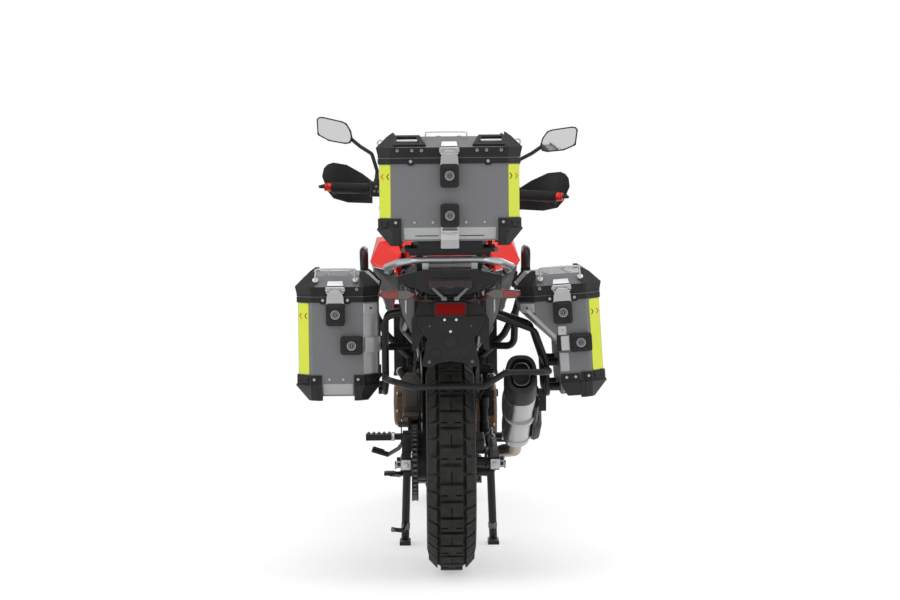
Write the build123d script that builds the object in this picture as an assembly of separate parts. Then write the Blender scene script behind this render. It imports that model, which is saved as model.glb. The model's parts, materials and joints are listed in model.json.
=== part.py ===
"""Middleweight adventure motorcycle with a top case and two side cases, parked on its centre stand.

Millimetres. +Y is forwards, +X is the rider's right, +Z is up. While modelling, Y is counted from the
rear axle; every node is moved back by ORIGIN_Y when it is written, so that the origin lies on the ground
under the middle of the whole machine. The front end is modelled straight ahead and is then turned about
the steering axis by STEER_REST.
"""

from build123d import *
import math
import os

# ---------------------------------------------------------------- wheels and stance
WHEELBASE = 1515.0
REAR_TYRE_RADIUS = 328.0
REAR_TYRE_WIDTH = 142.0
REAR_RIM_RADIUS = 216.0
FRONT_TYRE_RADIUS = 329.0
FRONT_TYRE_WIDTH = 110.0
FRONT_RIM_RADIUS = 241.0
LUG_HEIGHT = 9.0
REAR_WHEEL_LIFT = 4.0            # the centre stand holds the rear tyre this far off the ground
AXLE_RADIUS = 10.0
FIT = 0.3                        # room left between two pieces that touch
RUNNING = 0.05                   # room round a shaft in its bore

REAR_AXLE_Z = REAR_TYRE_RADIUS + REAR_WHEEL_LIFT
FRONT_AXLE_Z = FRONT_TYRE_RADIUS

# ---------------------------------------------------------------- steering
RAKE = 26.0                      # degrees from the vertical
TRAIL = 105.0
HEAD_Z = 925.0                   # middle of the steering head
HEAD_LENGTH = 150.0
HEAD_RADIUS = 32.0
STEM_RADIUS = 17.0
FORK_SPREAD = 104.0              # fork tube centre from the middle plane
FORK_TUBE_RADIUS = 27.0
FORK_SLIDER_RADIUS = 21.5
YOKE_THICKNESS = 34.0
STEER_REST = -6.5                # degrees, towards the rider's right


def steer_y(z):
    """Y of the steering axis at height z."""
    return WHEELBASE + TRAIL - z * math.tan(math.radians(RAKE))


AXIS_FORWARD = Vector(0, math.cos(math.radians(RAKE)), math.sin(math.radians(RAKE)))
AXIS_UP = Vector(0, -math.sin(math.radians(RAKE)), math.cos(math.radians(RAKE)))
HEAD = Vector(0, steer_y(HEAD_Z), HEAD_Z)
FRONT_AXLE = Vector(0, WHEELBASE, FRONT_AXLE_Z)
FORK_OFFSET = (FRONT_AXLE - HEAD).dot(AXIS_FORWARD)
STEER_AXIS = Axis(HEAD, AXIS_UP)


def head_point(x, ahead, up):
    """A point given from the middle of the steering head, along and across the steering axis."""
    return HEAD + AXIS_FORWARD * ahead + AXIS_UP * up + Vector(x, 0, 0)


# ---------------------------------------------------------------- frame and swingarm
SWINGARM_LENGTH = 575.0
PIVOT_Z = 350.0
PIVOT_Y = SWINGARM_LENGTH
PLATE_X = 72.0                   # inner face of the frame's pivot plates
PLATE_THICKNESS = 22.0
PLATE_TOP = 640.0
MAIN_TUBE_RADIUS = 15.0
SUB_TUBE_RADIUS = 11.0
RAIL_Z_FRONT = 742.0
RAIL_Z_REAR = 880.0
RAIL_END_Y = -330.0
SWINGARM_HALF_WIDTH = 148.0      # outer face of the arms at the rear axle
ARM_WIDTH = 27.0
ARM_HEIGHT = 62.0
BEAM_Y = 362.0                   # the beam that joins the arms, just ahead of the tyre
BEAM_LENGTH = 66.0

# ---------------------------------------------------------------- engine
ENGINE_HALF = 92.0
ENGINE_REAR = PIVOT_Y + 54.0
CYLINDER_TILT = 16.0
CYLINDER_ORIGIN = Vector(0, PIVOT_Y + 300, 430.0)
HEAD_HALF_DEPTH = 91.0

# ---------------------------------------------------------------- centre stand
STAND_PIVOT_Y = PIVOT_Y - 122.0
STAND_PIVOT_Z = 242.0
STAND_TUBE_RADIUS = 15.0
STAND_FOOT_Y = STAND_PIVOT_Y + 52.0
STAND_FOOT_X = 144.0
STAND_LEG_X = 136.0

SIDE_STAND_PIVOT = Vector(-142.0, PIVOT_Y + 66.0, 222.0)
SIDE_STAND_AXIS = Vector(0.978, 0.207, 0.0).normalized()
SIDE_STAND_PIN_RADIUS = 8.0

# ---------------------------------------------------------------- chain
CHAIN_X = -108.0
SPROCKET_TEETH = 44
CHAIN_PITCH = 15.875
SPROCKET_RADIUS = CHAIN_PITCH / 2 / math.sin(math.pi / SPROCKET_TEETH)
FRONT_SPROCKET_TEETH = 16
FRONT_SPROCKET_RADIUS = CHAIN_PITCH / 2 / math.sin(math.pi / FRONT_SPROCKET_TEETH)
FRONT_SPROCKET_Y = PIVOT_Y + 75.0
FRONT_SPROCKET_Z = PIVOT_Z + 12.0
CHAIN_WIDTH = 20.0
LINK_HALF_HEIGHT = 7.5
CHAIN_SLOT_STEP = 3.0            # the slot for the teeth stops this far inside the links

# ---------------------------------------------------------------- luggage
CASE_WALL = 3.0
TOP_CASE = dict(width=400.0, length=380.0, rear_y=-430.0, bottom=1019.0, seam=1256.0, lid=61.0,
                corner=34.0, bevel=40.0)
SIDE_CASE = dict(width=235.0, length=400.0, rear_y=-170.0, bottom=551.0, seam=849.0, lid=61.0,
                 corner=42.0, bevel=40.0)
LEFT_CASE_X = -333.0
RIGHT_CASE_X = 327.0
RIGHT_CASE_TILT = 3.3            # degrees, foot outwards
NOTCH_DEPTH = 104.0              # how far the right case is cut away round the silencer
NOTCH_TOP = 46.0                 # below the seam, where the cut-away starts
RIM_HEIGHT = 17.0
RIM_PROUD = 3.0
LID_BAND = 30.0
LID_BEVEL = 31.0                 # how far a lid draws in above its band
GUARD_PROUD = 9.0
GUARD_INNER_PROUD = 1.0          # of a top case guard that a side case's lid swings past
GUARD_DROP = 14.0
GUARD_TOP = 65.0                 # above a case's bottom
SEAM_GAP = 0.5
HINGE_AHEAD = 14.0               # of a lid, in front of its case
HINGE_RADIUS = 6.5
HINGE_PIN_RADIUS = 3.5

LATCH_DEPTH = 22.0
KNOB_DEPTH = 8.0
OVERALL_REAR = TOP_CASE["rear_y"] - LATCH_DEPTH - KNOB_DEPTH
OVERALL_FRONT = WHEELBASE + FRONT_TYRE_RADIUS
ORIGIN_Y = (OVERALL_REAR + OVERALL_FRONT) / 2

NODES = {}


# ================================================================= helpers
def rod(points, radius, bend=60.0):
    """A round bar along straight runs joined by bends."""
    if len(points) == 2:
        path = Line(*points)
    else:
        path = FilletPolyline(*points, radius=bend)
    return sweep(Plane(origin=path @ 0, z_dir=path % 0) * Circle(radius), path=path)


def slab_x(outline, x_low, x_high):
    """A flat outline of (y, z) points, extruded along X."""
    face = Plane.YZ * make_face(Polyline(*outline, close=True))
    return Pos(x_low, 0, 0) * extrude(face, amount=x_high - x_low)


def slab_y(outline, y_low, y_high):
    """A flat outline of (x, z) points, extruded along Y."""
    face = Plane.XZ * make_face(Polyline(*outline, close=True))
    return Pos(0, y_high, 0) * extrude(face, amount=y_high - y_low)


def slab_z(outline, z_low, z_high):
    """A flat outline of (x, y) points, extruded along Z."""
    return Pos(0, 0, z_low) * extrude(make_face(Polyline(*outline, close=True)), amount=z_high - z_low)


def both(shape):
    """The shape and its mirror image on the other side."""
    return shape + mirror(shape, about=Plane.YZ)


def cylinder_x(x_low, x_high, y, z, radius):
    return Pos(x_low, y, z) * Rot(0, 90, 0) * Cylinder(
        radius, x_high - x_low, align=(Align.CENTER, Align.CENTER, Align.MIN))


def box_between(low, high):
    size = [high[i] - low[i] for i in range(3)]
    return Pos(*low) * Box(*size, align=(Align.MIN, Align.MIN, Align.MIN))


def ring_loft(sections):
    """A solid through rounded sections: (y, half_width, z_low, z_high, corner)."""
    faces = [Plane(origin=(0, y, (low + high) / 2), x_dir=(1, 0, 0), z_dir=(0, 1, 0))
             * RectangleRounded(2 * half, high - low, corner)
             for y, half, low, high, corner in sections]
    return loft(faces, ruled=True)


def wheel_revolve(outline, centre):
    """Turns an (x, radius) outline about a wheel's axle."""
    face = make_face(Plane.XY * Polyline(*outline, close=True))
    solid = revolve(face, Axis.X)
    return Pos(*centre) * solid


# ================================================================= wheels
def faceted_ring(outline, segments, turn=0.0):
    """A ring of flat facets: an (x, radius) outline carried round X in equal steps."""
    def corner(x, radius, k):
        angle = math.radians(turn + 360.0 * k / segments)
        return (x, -radius * math.sin(angle), radius * math.cos(angle))

    faces = []
    for (x0, r0), (x1, r1) in zip(outline, outline[1:] + outline[:1]):
        for k in range(segments):
            ring = [corner(x0, r0, k), corner(x1, r1, k), corner(x1, r1, k + 1), corner(x0, r0, k + 1)]
            faces.append(Face(Wire.make_polygon([Vector(*p) for p in ring], close=True)))
    solid = Solid(Shell(faces))
    return solid if solid.volume > 0 else Solid(Shell([-f for f in faces]))


def block_band(x_low, x_high, top_low, top_high, root, rows, groove, turn):
    """A band of tread blocks between two X planes, with a groove between each two blocks."""
    def gear(top):
        points = []
        for k in range(rows):
            start = turn + 360.0 * k / rows
            for part, radius in ((0.0, root), (groove, root), (groove, top), (360.0 / rows, top)):
                angle = math.radians(start + part)
                points.append((radius * math.sin(angle), radius * math.cos(angle)))
        return points

    low = Plane.YZ.offset(x_low) * make_face(Polyline(*gear(top_low), close=True))
    high = Plane.YZ.offset(x_high) * make_face(Polyline(*gear(top_high), close=True))
    return loft([low, high], ruled=True)


def tyre(radius, width, rim_radius, rim_width, rows, groove):
    """A block-tread tyre on its axle at the origin, spinning about X."""
    carcass = radius - LUG_HEIGHT
    half = width / 2
    seat_radius = (rim_radius + FIT) / math.cos(math.pi / rows)
    outline = [
        (-rim_width / 2 + FIT, seat_radius), (-rim_width / 2 + FIT, rim_radius + 14.5),
        (-half + 2, rim_radius + 38), (-half, carcass - 48), (-half * 0.86, carcass - 20),
        (-half * 0.40, carcass), (half * 0.40, carcass), (half * 0.86, carcass - 20), (half, carcass - 48),
        (half - 2, rim_radius + 38), (rim_width / 2 - FIT, rim_radius + 14.5),
        (rim_width / 2 - FIT, seat_radius),
    ]
    pitch = 360.0 / rows
    body = faceted_ring(outline, rows, -pitch / 2)
    centre = block_band(-half * 0.46, half * 0.46, radius, radius, carcass - 6, rows, groove, 0)
    bands = [centre]
    for side in (-1, 1):
        inner, outer = half * 0.60, half * 0.97
        ends = sorted([(side * inner, radius - 7), (side * outer, radius - 33)])
        bands.append(block_band(ends[0][0], ends[1][0], ends[0][1], ends[1][1], carcass - 62, rows,
                                groove, pitch / 2))
    hole = wheel_revolve([(-half, 0), (-half, carcass - 50), (half, carcass - 50), (half, 0)], (0, 0, 0))
    rings = [band - hole for band in bands]
    return body.fuse(*rings)


def rim(rim_radius, rim_width):
    """A drop-centre rim."""
    half = rim_width / 2
    well = half * 0.45
    outline = [
        (-half - 6, rim_radius + 13), (-half - 1, rim_radius + 13), (-half, rim_radius),
        (-half * 0.6, rim_radius - 2), (-well, rim_radius - 14), (well, rim_radius - 14),
        (half * 0.6, rim_radius - 2), (half, rim_radius), (half + 1, rim_radius + 13),
        (half + 6, rim_radius + 13), (half + 4, rim_radius - 8), (half * 0.66, rim_radius - 11),
        (well + 1, rim_radius - 22), (-well - 1, rim_radius - 22), (-half * 0.66, rim_radius - 11),
        (-half - 4, rim_radius - 8),
    ]
    return wheel_revolve(outline, (0, 0, 0))


def hub(rim_radius, length, barrel, flange, bore, spokes):
    """A hub with crossed wire spokes that end just under the rim."""
    half = length / 2
    outline = [
        (-half, bore), (-half, barrel + 8), (-half + 14, barrel + 8), (-half + 14, flange),
        (-half + 20, flange), (-half + 22, barrel), (half - 22, barrel), (half - 20, flange),
        (half - 14, flange), (half - 14, barrel + 8), (half, barrel + 8), (half, bore),
    ]
    body = wheel_revolve(outline, (0, 0, 0))
    wires = []
    reach = rim_radius - 22 - 3 * FIT
    for k in range(spokes):
        side = -1 if k % 2 else 1
        lean = 26.0 if (k // 2) % 2 else -26.0
        turn = 360.0 * k / spokes
        root = Vector(side * (half - 17), 0, flange - 6)
        tip_angle = math.radians(lean)
        tip = Vector(side * 8, reach * math.sin(tip_angle) * 0.55, 0)
        tip.Z = math.sqrt(reach ** 2 - tip.Y ** 2)
        wire = rod([root, tip], 2.0)
        wires.append(Rot(turn, 0, 0) * wire)
    return body.fuse(*wires)


def disc(radius, inner, thickness, holes, x, bolt_circle):
    """A brake disc with its carrier, at x."""
    plate = cylinder_x(x - thickness / 2, x + thickness / 2, 0, 0, radius)
    cutters = [cylinder_x(x - thickness, x + thickness, 0, 0, inner)]
    for k in range(holes):
        angle = 2 * math.pi * k / holes
        mid = (radius + inner) / 2
        cutters.append(cylinder_x(x - thickness, x + thickness, mid * math.cos(angle),
                                  mid * math.sin(angle), 6))
    plate = plate.cut(*cutters)
    arms = []
    for k in range(5):
        arm = Pos(x, 0, 0) * Box(thickness, 22, inner + 6, align=(Align.CENTER, Align.CENTER, Align.MIN))
        arms.append(Rot(72 * k, 0, 0) * arm)
    carrier = cylinder_x(x - thickness / 2, x + thickness / 2, 0, 0, bolt_circle)
    return plate.fuse(carrier, *arms)


REAR_RIM_WIDTH = 88.0
FRONT_RIM_WIDTH = 62.0
REAR_HUB_LENGTH = 150.0
FRONT_HUB_LENGTH = 124.0
FRONT_DISC_RADIUS = 150.0
FRONT_DISC_X = 62.0
REAR_DISC_RADIUS = 120.0
REAR_DISC_X = 72.0


def rear_wheel():
    centre = (0, 0, REAR_AXLE_Z)
    place = Pos(*centre)
    bore = AXLE_RADIUS + RUNNING
    NODES["rear_tyre"] = place * tyre(REAR_TYRE_RADIUS, REAR_TYRE_WIDTH, REAR_RIM_RADIUS, REAR_RIM_WIDTH,
                                      38, 1.9)
    NODES["rear_rim"] = place * rim(REAR_RIM_RADIUS, REAR_RIM_WIDTH)
    centre_hub = hub(REAR_RIM_RADIUS, REAR_HUB_LENGTH, 38, 62, bore, 32)
    brake = disc(REAR_DISC_RADIUS, 78, 5, 12, REAR_DISC_X, 44)
    teeth = SPROCKET_TEETH
    points = []
    for k in range(teeth):
        for part, radius in ((-0.25, SPROCKET_RADIUS - 5.0), (-0.12, SPROCKET_RADIUS + 3.0),
                             (0.12, SPROCKET_RADIUS + 3.0), (0.25, SPROCKET_RADIUS - 5.0)):
            angle = 2 * math.pi * (k + part) / teeth
            points.append((radius * math.cos(angle), radius * math.sin(angle)))
    sprocket = slab_x(points, CHAIN_X - 3.5, CHAIN_X + 3.5)
    windows = [Rot(60 * k + 30, 0, 0) * cylinder_x(CHAIN_X - 5, CHAIN_X + 5, 0, 78, 19) for k in range(6)]
    sprocket = sprocket.cut(*windows)
    carrier = cylinder_x(CHAIN_X - 1, -REAR_HUB_LENGTH / 2 + 1, 0, 0, 52)
    whole = centre_hub.fuse(brake, sprocket, carrier)
    whole = whole - cylinder_x(-200, 200, 0, 0, bore)
    NODES["rear_hub"] = place * whole


def front_wheel():
    place = Pos(*FRONT_AXLE)
    bore = AXLE_RADIUS + RUNNING
    NODES["front_tyre"] = place * tyre(FRONT_TYRE_RADIUS, FRONT_TYRE_WIDTH, FRONT_RIM_RADIUS,
                                       FRONT_RIM_WIDTH, 38, 1.9)
    NODES["front_rim"] = place * rim(FRONT_RIM_RADIUS, FRONT_RIM_WIDTH)
    centre_hub = hub(FRONT_RIM_RADIUS, FRONT_HUB_LENGTH, 28, 48, bore, 32)
    discs = [disc(FRONT_DISC_RADIUS, 108, 5, 16, side * FRONT_DISC_X, 40) for side in (-1, 1)]
    whole = centre_hub.fuse(*discs) - cylinder_x(-200, 200, 0, 0, bore)
    NODES["front_hub"] = place * whole


# ================================================================= swingarm, chain, shock
def swingarm():
    """Two box arms joined ahead of the tyre, with axle, adjusters and paddock-stand bobbins."""
    half = ARM_HEIGHT / 2
    inner = SWINGARM_HALF_WIDTH - ARM_WIDTH
    beam_end = BEAM_Y + BEAM_LENGTH
    arm = slab_x([
        (-45, REAR_AXLE_Z - 20), (-45, REAR_AXLE_Z + 20), (40, REAR_AXLE_Z + 30), (beam_end, PIVOT_Z + half),
        (beam_end, PIVOT_Z - half), (40, REAR_AXLE_Z - 30)], inner, SWINGARM_HALF_WIDTH)
    leg_inner = PLATE_X - FIT - ARM_WIDTH
    leg = slab_x([
        (BEAM_Y, PIVOT_Z - half), (BEAM_Y, PIVOT_Z + half), (PIVOT_Y + 20, PIVOT_Z + 26),
        (PIVOT_Y + 20, PIVOT_Z - 26)], leg_inner, leg_inner + ARM_WIDTH)
    beam = box_between((-SWINGARM_HALF_WIDTH, BEAM_Y, PIVOT_Z - half),
                       (SWINGARM_HALF_WIDTH, beam_end, PIVOT_Z + half))
    tube = cylinder_x(-leg_inner - ARM_WIDTH, leg_inner + ARM_WIDTH, PIVOT_Y, PIVOT_Z, 26)
    body = beam.fuse(arm, leg, mirror(arm, about=Plane.YZ), mirror(leg, about=Plane.YZ), tube)
    body = body - cylinder_x(-200, 200, PIVOT_Y, PIVOT_Z, AXLE_RADIUS + RUNNING)
    outer = SWINGARM_HALF_WIDTH
    axle = cylinder_x(-outer - 8, outer + 8, 0, REAR_AXLE_Z, AXLE_RADIUS)
    nut = cylinder_x(outer, outer + 14, 0, REAR_AXLE_Z, 17)
    bobbin = cylinder_x(outer, outer + 8, 44, REAR_AXLE_Z - 14, 6)
    bobbin += cylinder_x(outer + 8, outer + 18, 44, REAR_AXLE_Z - 14, 9)
    bobbin += cylinder_x(outer + 18, outer + 22, 44, REAR_AXLE_Z - 14, 13)
    block = box_between((inner, -58, REAR_AXLE_Z - 15), (outer, -44, REAR_AXLE_Z + 15))
    shock_lug = both(box_between((20, BEAM_Y + 20, PIVOT_Z + half - 2),
                                 (30, BEAM_Y + 60, PIVOT_Z + half + 42)))
    left_spacer = cylinder_x(-inner - 1, CHAIN_X - 4.5, 0, REAR_AXLE_Z, 15)
    right_spacer = cylinder_x(REAR_HUB_LENGTH / 2 + 1, inner + 1, 0, REAR_AXLE_Z, 15)
    NODES["swingarm"] = body.fuse(axle, both(nut), both(bobbin), both(block), shock_lug, left_spacer,
                                  right_spacer)


SHOCK_LOW = Vector(0, BEAM_Y + 42, PIVOT_Z + ARM_HEIGHT / 2 + 24)
SHOCK_HIGH = Vector(0, PIVOT_Y - 20, 668.0)


def shock():
    """Spring and damper unit between the swingarm's beam and the frame."""
    along = (SHOCK_HIGH - SHOCK_LOW).normalized()
    length = (SHOCK_HIGH - SHOCK_LOW).length
    body = rod([SHOCK_LOW, SHOCK_HIGH], 16)
    parts = [rod([SHOCK_LOW + along * 40, SHOCK_LOW + along * 50], 36),
             rod([SHOCK_LOW + along * (length - 66), SHOCK_LOW + along * (length - 54)], 36)]
    coils = 7
    first, last = 56.0, length - 72.0
    for k in range(coils):
        at = first + (last - first) * k / (coils - 1)
        coil = [SHOCK_LOW + along * (at - 5.5), SHOCK_LOW + along * (at + 5.5)]
        parts.append(rod(coil, 33.5))
    sleeve = rod([SHOCK_LOW + along * 44, SHOCK_LOW + along * (length - 60)], 21)
    eyes = [cylinder_x(-19.5, 19.5, SHOCK_LOW.Y, SHOCK_LOW.Z, 19),
            cylinder_x(-19.5, 19.5, SHOCK_HIGH.Y, SHOCK_HIGH.Z, 19)]
    NODES["shock"] = body.fuse(sleeve, *parts, *eyes)


def chain():
    """One fixed loop: two rows of link plates joined outside the tooth tips."""
    rear = Vector(0, REAR_AXLE_Z)
    front = Vector(FRONT_SPROCKET_Y, FRONT_SPROCKET_Z)
    line = front - rear
    distance = line.length
    tilt = math.atan2(line.Y, line.X)
    spread = math.acos((SPROCKET_RADIUS - FRONT_SPROCKET_RADIUS) / distance)

    def loop(offset):
        """The loop's outline at an offset from the pitch line, as (y, z) points."""
        points = []
        big, small = SPROCKET_RADIUS + offset, FRONT_SPROCKET_RADIUS + offset
        steps = 30
        for k in range(steps + 1):
            angle = tilt + spread + (2 * math.pi - 2 * spread) * k / steps
            points.append((rear.X + big * math.cos(angle), rear.Y + big * math.sin(angle)))
        steps = 26
        for k in range(steps + 1):
            angle = tilt - spread + 2 * spread * k / steps
            points.append((front.X + small * math.cos(angle), front.Y + small * math.sin(angle)))
        return points

    def scalloped(offset, bulge):
        """The outline with one bulge for each pair of links."""
        line_points = loop(0.0)
        lengths = [0.0]
        closed = line_points + [line_points[0]]
        for a, b in zip(closed, closed[1:]):
            lengths.append(lengths[-1] + math.dist(a, b))
        links = 2 * round(lengths[-1] / CHAIN_PITCH / 2)
        out = []
        for k in range(links):
            at = lengths[-1] * k / links
            i = max(n for n in range(len(lengths)) if lengths[n] <= at + 1e-9)
            i = min(i, len(closed) - 2)
            a, b = closed[i], closed[i + 1]
            t = (at - lengths[i]) / math.dist(a, b)
            p = (a[0] + (b[0] - a[0]) * t, a[1] + (b[1] - a[1]) * t)
            d = ((b[0] - a[0]) / math.dist(a, b), (b[1] - a[1]) / math.dist(a, b))
            # The loop runs anticlockwise seen from +X, so its outside is on the right of travel.
            reach = offset + (bulge if k % 2 else 0.0)
            out.append((p[0] + d[1] * reach, p[1] - d[0] * reach))
        return out

    plates = slab_x(scalloped(LINK_HALF_HEIGHT - 2, 2.0), CHAIN_X - CHAIN_WIDTH / 2,
                    CHAIN_X + CHAIN_WIDTH / 2)
    hole = slab_x(scalloped(-LINK_HALF_HEIGHT + 2, -2.0), CHAIN_X - CHAIN_WIDTH, CHAIN_X + CHAIN_WIDTH)
    slot = slab_x(loop(LINK_HALF_HEIGHT - CHAIN_SLOT_STEP), CHAIN_X - 5.5, CHAIN_X + 5.5)
    NODES["chain"] = (plates - hole) - slot


# ================================================================= frame
SEAT_RAIL = [
    (138, PIVOT_Y + 118, 690.0),
    (122, PIVOT_Y - 190, RAIL_Z_FRONT),
    (100, -40, RAIL_Z_REAR - 40),
    (88, RAIL_END_Y, RAIL_Z_REAR),
]
SPAR = [
    Vector(24, HEAD.Y - 10, HEAD.Z + 14),
    Vector(134, HEAD.Y - 130, HEAD.Z - 80),
    Vector(142, PIVOT_Y + 140, 690.0),
    Vector(90, PIVOT_Y + 14, PLATE_TOP),
]
DOWN_TUBE = [
    Vector(20, HEAD.Y - 30, HEAD.Z - 24),
    Vector(62, HEAD.Y - 44, HEAD.Z - 140),
    Vector(100, HEAD.Y - 62, 640.0),
    Vector(106, HEAD.Y - 80, 480.0),
    Vector(108, HEAD.Y - 164, 396.0),
]


def main_spar(room=0.0):
    return rod(SPAR, MAIN_TUBE_RADIUS + room, 70)


def down_tube(room=0.0):
    return rod(DOWN_TUBE, MAIN_TUBE_RADIUS - 1 + room, 50)


def seat_rail(room=0.0):
    return rod([Vector(*p) for p in SEAT_RAIL], SUB_TUBE_RADIUS + room, 120)


def frame():
    """Steering head, spars, down tubes, pivot plates and seat rails."""
    head = rod([head_point(0, 0, -HEAD_LENGTH / 2), head_point(0, 0, HEAD_LENGTH / 2)], HEAD_RADIUS)
    plate_outline = [
        (PIVOT_Y - 46, PIVOT_Z - 52), (PIVOT_Y - 50, PIVOT_Z + 40), (PIVOT_Y - 34, PIVOT_Z + 170),
        (PIVOT_Y - 44, PLATE_TOP + 60), (PIVOT_Y + 20, PLATE_TOP + 60), (PIVOT_Y + 44, PIVOT_Z + 120),
        (ENGINE_REAR - FIT, PIVOT_Z + 20), (ENGINE_REAR - FIT, PIVOT_Z - 20),
        (PIVOT_Y + 36, PIVOT_Z - 96), (STAND_PIVOT_Y, STAND_PIVOT_Z - 26),
        (STAND_PIVOT_Y - 26, STAND_PIVOT_Z - 10), (STAND_PIVOT_Y - 22, STAND_PIVOT_Z + 18),
    ]
    plate = slab_x(plate_outline, PLATE_X, PLATE_X + PLATE_THICKNESS)
    plate = plate - cylinder_x(0, 200, STAND_PIVOT_Y, STAND_PIVOT_Z, STAND_TUBE_RADIUS + RUNNING)
    spar = main_spar()
    down = down_tube()
    strut = rod([Vector(140, HEAD.Y - 250, HEAD.Z - 135), Vector(99, HEAD.Y - 60, 660)], 10)
    rail = seat_rail()
    stay = rod([Vector(88, PIVOT_Y - 4, PLATE_TOP - 30), Vector(103, 30, RAIL_Z_REAR - 52)], SUB_TUBE_RADIUS)
    half = spar.fuse(plate, down, strut, rail, stay)
    cross = []
    for (x, y, z), r in (((122, PIVOT_Y - 190, RAIL_Z_FRONT), 9), ((101, -20, RAIL_Z_REAR - 38), 9),
                         ((88, RAIL_END_Y + 6, RAIL_Z_REAR), 9)):
        cross.append(cylinder_x(-x, x, y, z, r))
    outer = PLATE_X + PLATE_THICKNESS + 3
    shaft = cylinder_x(-outer, outer, PIVOT_Y, PIVOT_Z, AXLE_RADIUS)
    shaft += cylinder_x(-PLATE_X - 2, PLATE_X + 2, SHOCK_HIGH.Y, SHOCK_HIGH.Z, 12)
    whole = head.fuse(half, mirror(half, about=Plane.YZ), shaft, *cross)
    bore = rod([head_point(0, 0, -HEAD_LENGTH), head_point(0, 0, HEAD_LENGTH)], STEM_RADIUS + RUNNING)
    pivot, inwards = SIDE_STAND_PIVOT, SIDE_STAND_AXIS
    pin = rod([pivot - inwards * 10.3, pivot + inwards * 20], SIDE_STAND_PIN_RADIUS)
    pin += rod([pivot - inwards * 15, pivot - inwards * 10.3], 11)
    pin += rod([pivot + inwards * 10.3, pivot + inwards * 22], 19)
    pin += box_between((-126, pivot.Y - 46, pivot.Z + 8), (-PLATE_X - 4, pivot.Y - 8, pivot.Z + 34))
    lug = both(cylinder_x(ENGINE_HALF + FIT, 108, HEAD.Y - 164, 392, 10))
    whole = whole.fuse(pin, lug)
    shock_eye = cylinder_x(-20, 20, SHOCK_HIGH.Y, SHOCK_HIGH.Z, 60)
    NODES["frame"] = whole - bore - shock_eye


# ================================================================= engine


def engine():
    """Crankcase with a leaning twin cylinder block, head and cam cover."""
    rear = ENGINE_REAR
    case_outline = [
        (rear, PIVOT_Z - 70), (rear, PIVOT_Z + 110), (rear + 60, PIVOT_Z + 150), (rear + 180, PIVOT_Z + 150),
        (rear + 380, PIVOT_Z + 60), (rear + 408, PIVOT_Z - 10), (rear + 380, PIVOT_Z - 70),
        (rear + 320, PIVOT_Z - 94), (rear + 40, PIVOT_Z - 94),
    ]
    case = slab_x(case_outline, -ENGINE_HALF, ENGINE_HALF)
    tilt = Pos(*CYLINDER_ORIGIN) * Rot(-CYLINDER_TILT, 0, 0)
    block = Box(174, 168, 150, align=(Align.CENTER, Align.CENTER, Align.MIN))
    head = Pos(0, 0, 150) * Box(184, 2 * HEAD_HALF_DEPTH, 78, align=(Align.CENTER, Align.CENTER, Align.MIN))
    cam = Pos(0, 0, 228) * Box(176, 150, 38, align=(Align.CENTER, Align.CENTER, Align.MIN))
    cam = fillet(cam.edges().filter_by(Axis.X), 16)
    ribs = [Pos(0, 0, 30 + 24 * k) * Box(184, 178, 6, align=(Align.CENTER, Align.CENTER, Align.MIN))
            for k in range(5)]
    top = block.fuse(head, cam, *ribs)
    tooth_gap = FRONT_SPROCKET_RADIUS + LINK_HALF_HEIGHT - CHAIN_SLOT_STEP - FIT
    sprocket = cylinder_x(CHAIN_X - 3.5, CHAIN_X + 3.5, FRONT_SPROCKET_Y, FRONT_SPROCKET_Z, tooth_gap)
    shaft = cylinder_x(CHAIN_X - 8, -ENGINE_HALF + 1, FRONT_SPROCKET_Y, FRONT_SPROCKET_Z, 16)
    NODES["engine"] = (case + tilt * top).fuse(sprocket, shaft)
    covers = []
    for side, spots in (
        (-1, [(rear + 262, PIVOT_Z + 70, 76, 87), (rear + 150, PIVOT_Z - 8, 60, 34)]),
        (1, [(rear + 190, PIVOT_Z + 40, 108, 74), (rear + 325, PIVOT_Z - 20, 50, 42)]),
    ):
        parts = []
        for y, z, radius, depth in spots:
            start = ENGINE_HALF + FIT if side > 0 else -ENGINE_HALF - FIT - depth
            body = cylinder_x(start, start + depth, y, z, radius)
            far = body.faces().filter_by(Axis.X).sort_by(Axis.X)[-1 if side > 0 else 0]
            body = fillet(far.edges(), 12)
            parts.append(body)
        skirt_y = [p[0] for p in spots]
        skirt = [(min(skirt_y) - 20, PIVOT_Z - 70), (min(skirt_y) - 10, PIVOT_Z + 60),
                 (max(skirt_y) + 30, PIVOT_Z + 50), (max(skirt_y) + 40, PIVOT_Z - 60)]
        low = ENGINE_HALF + FIT if side > 0 else -ENGINE_HALF - FIT - 20
        parts.append(slab_x(skirt, low, low + 20))
        if side < 0:
            front, wide = FRONT_SPROCKET_Y + 60, CHAIN_X - CHAIN_WIDTH / 2 - 5
            parts.append(box_between((wide - 6, FRONT_SPROCKET_Y - 46, 300), (wide, front, 424)))
            parts.append(box_between((wide - 6, front, 300), (-ENGINE_HALF - FIT, front + 14, 424)))
        covers.append(parts[0].fuse(*parts[1:]))
    NODES["engine_covers"] = Compound(children=[covers[0], covers[1]])


RADIATOR_Y = HEAD.Y - 30
RADIATOR_HALF = 182.0


def radiator():
    core = box_between((-148, RADIATOR_Y, 500), (148, RADIATOR_Y + 34, 740))
    tanks = both(box_between((148, RADIATOR_Y - 4, 494), (RADIATOR_HALF, RADIATOR_Y + 38, 746)))
    fan = Pos(0, RADIATOR_Y - 14, 620) * Rot(90, 0, 0) * Cylinder(78, 30)
    lugs = both(box_between((88, RADIATOR_Y - 26, 600), (114, RADIATOR_Y + 2, 626)))
    lugs = lugs - both(down_tube(FIT))
    NODES["radiator"] = core + tanks + fan + lugs


# ================================================================= exhaust
SILENCER_FRONT = Vector(209, 240, 376)
SILENCER_REAR = Vector(208, -250, 624)


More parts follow.
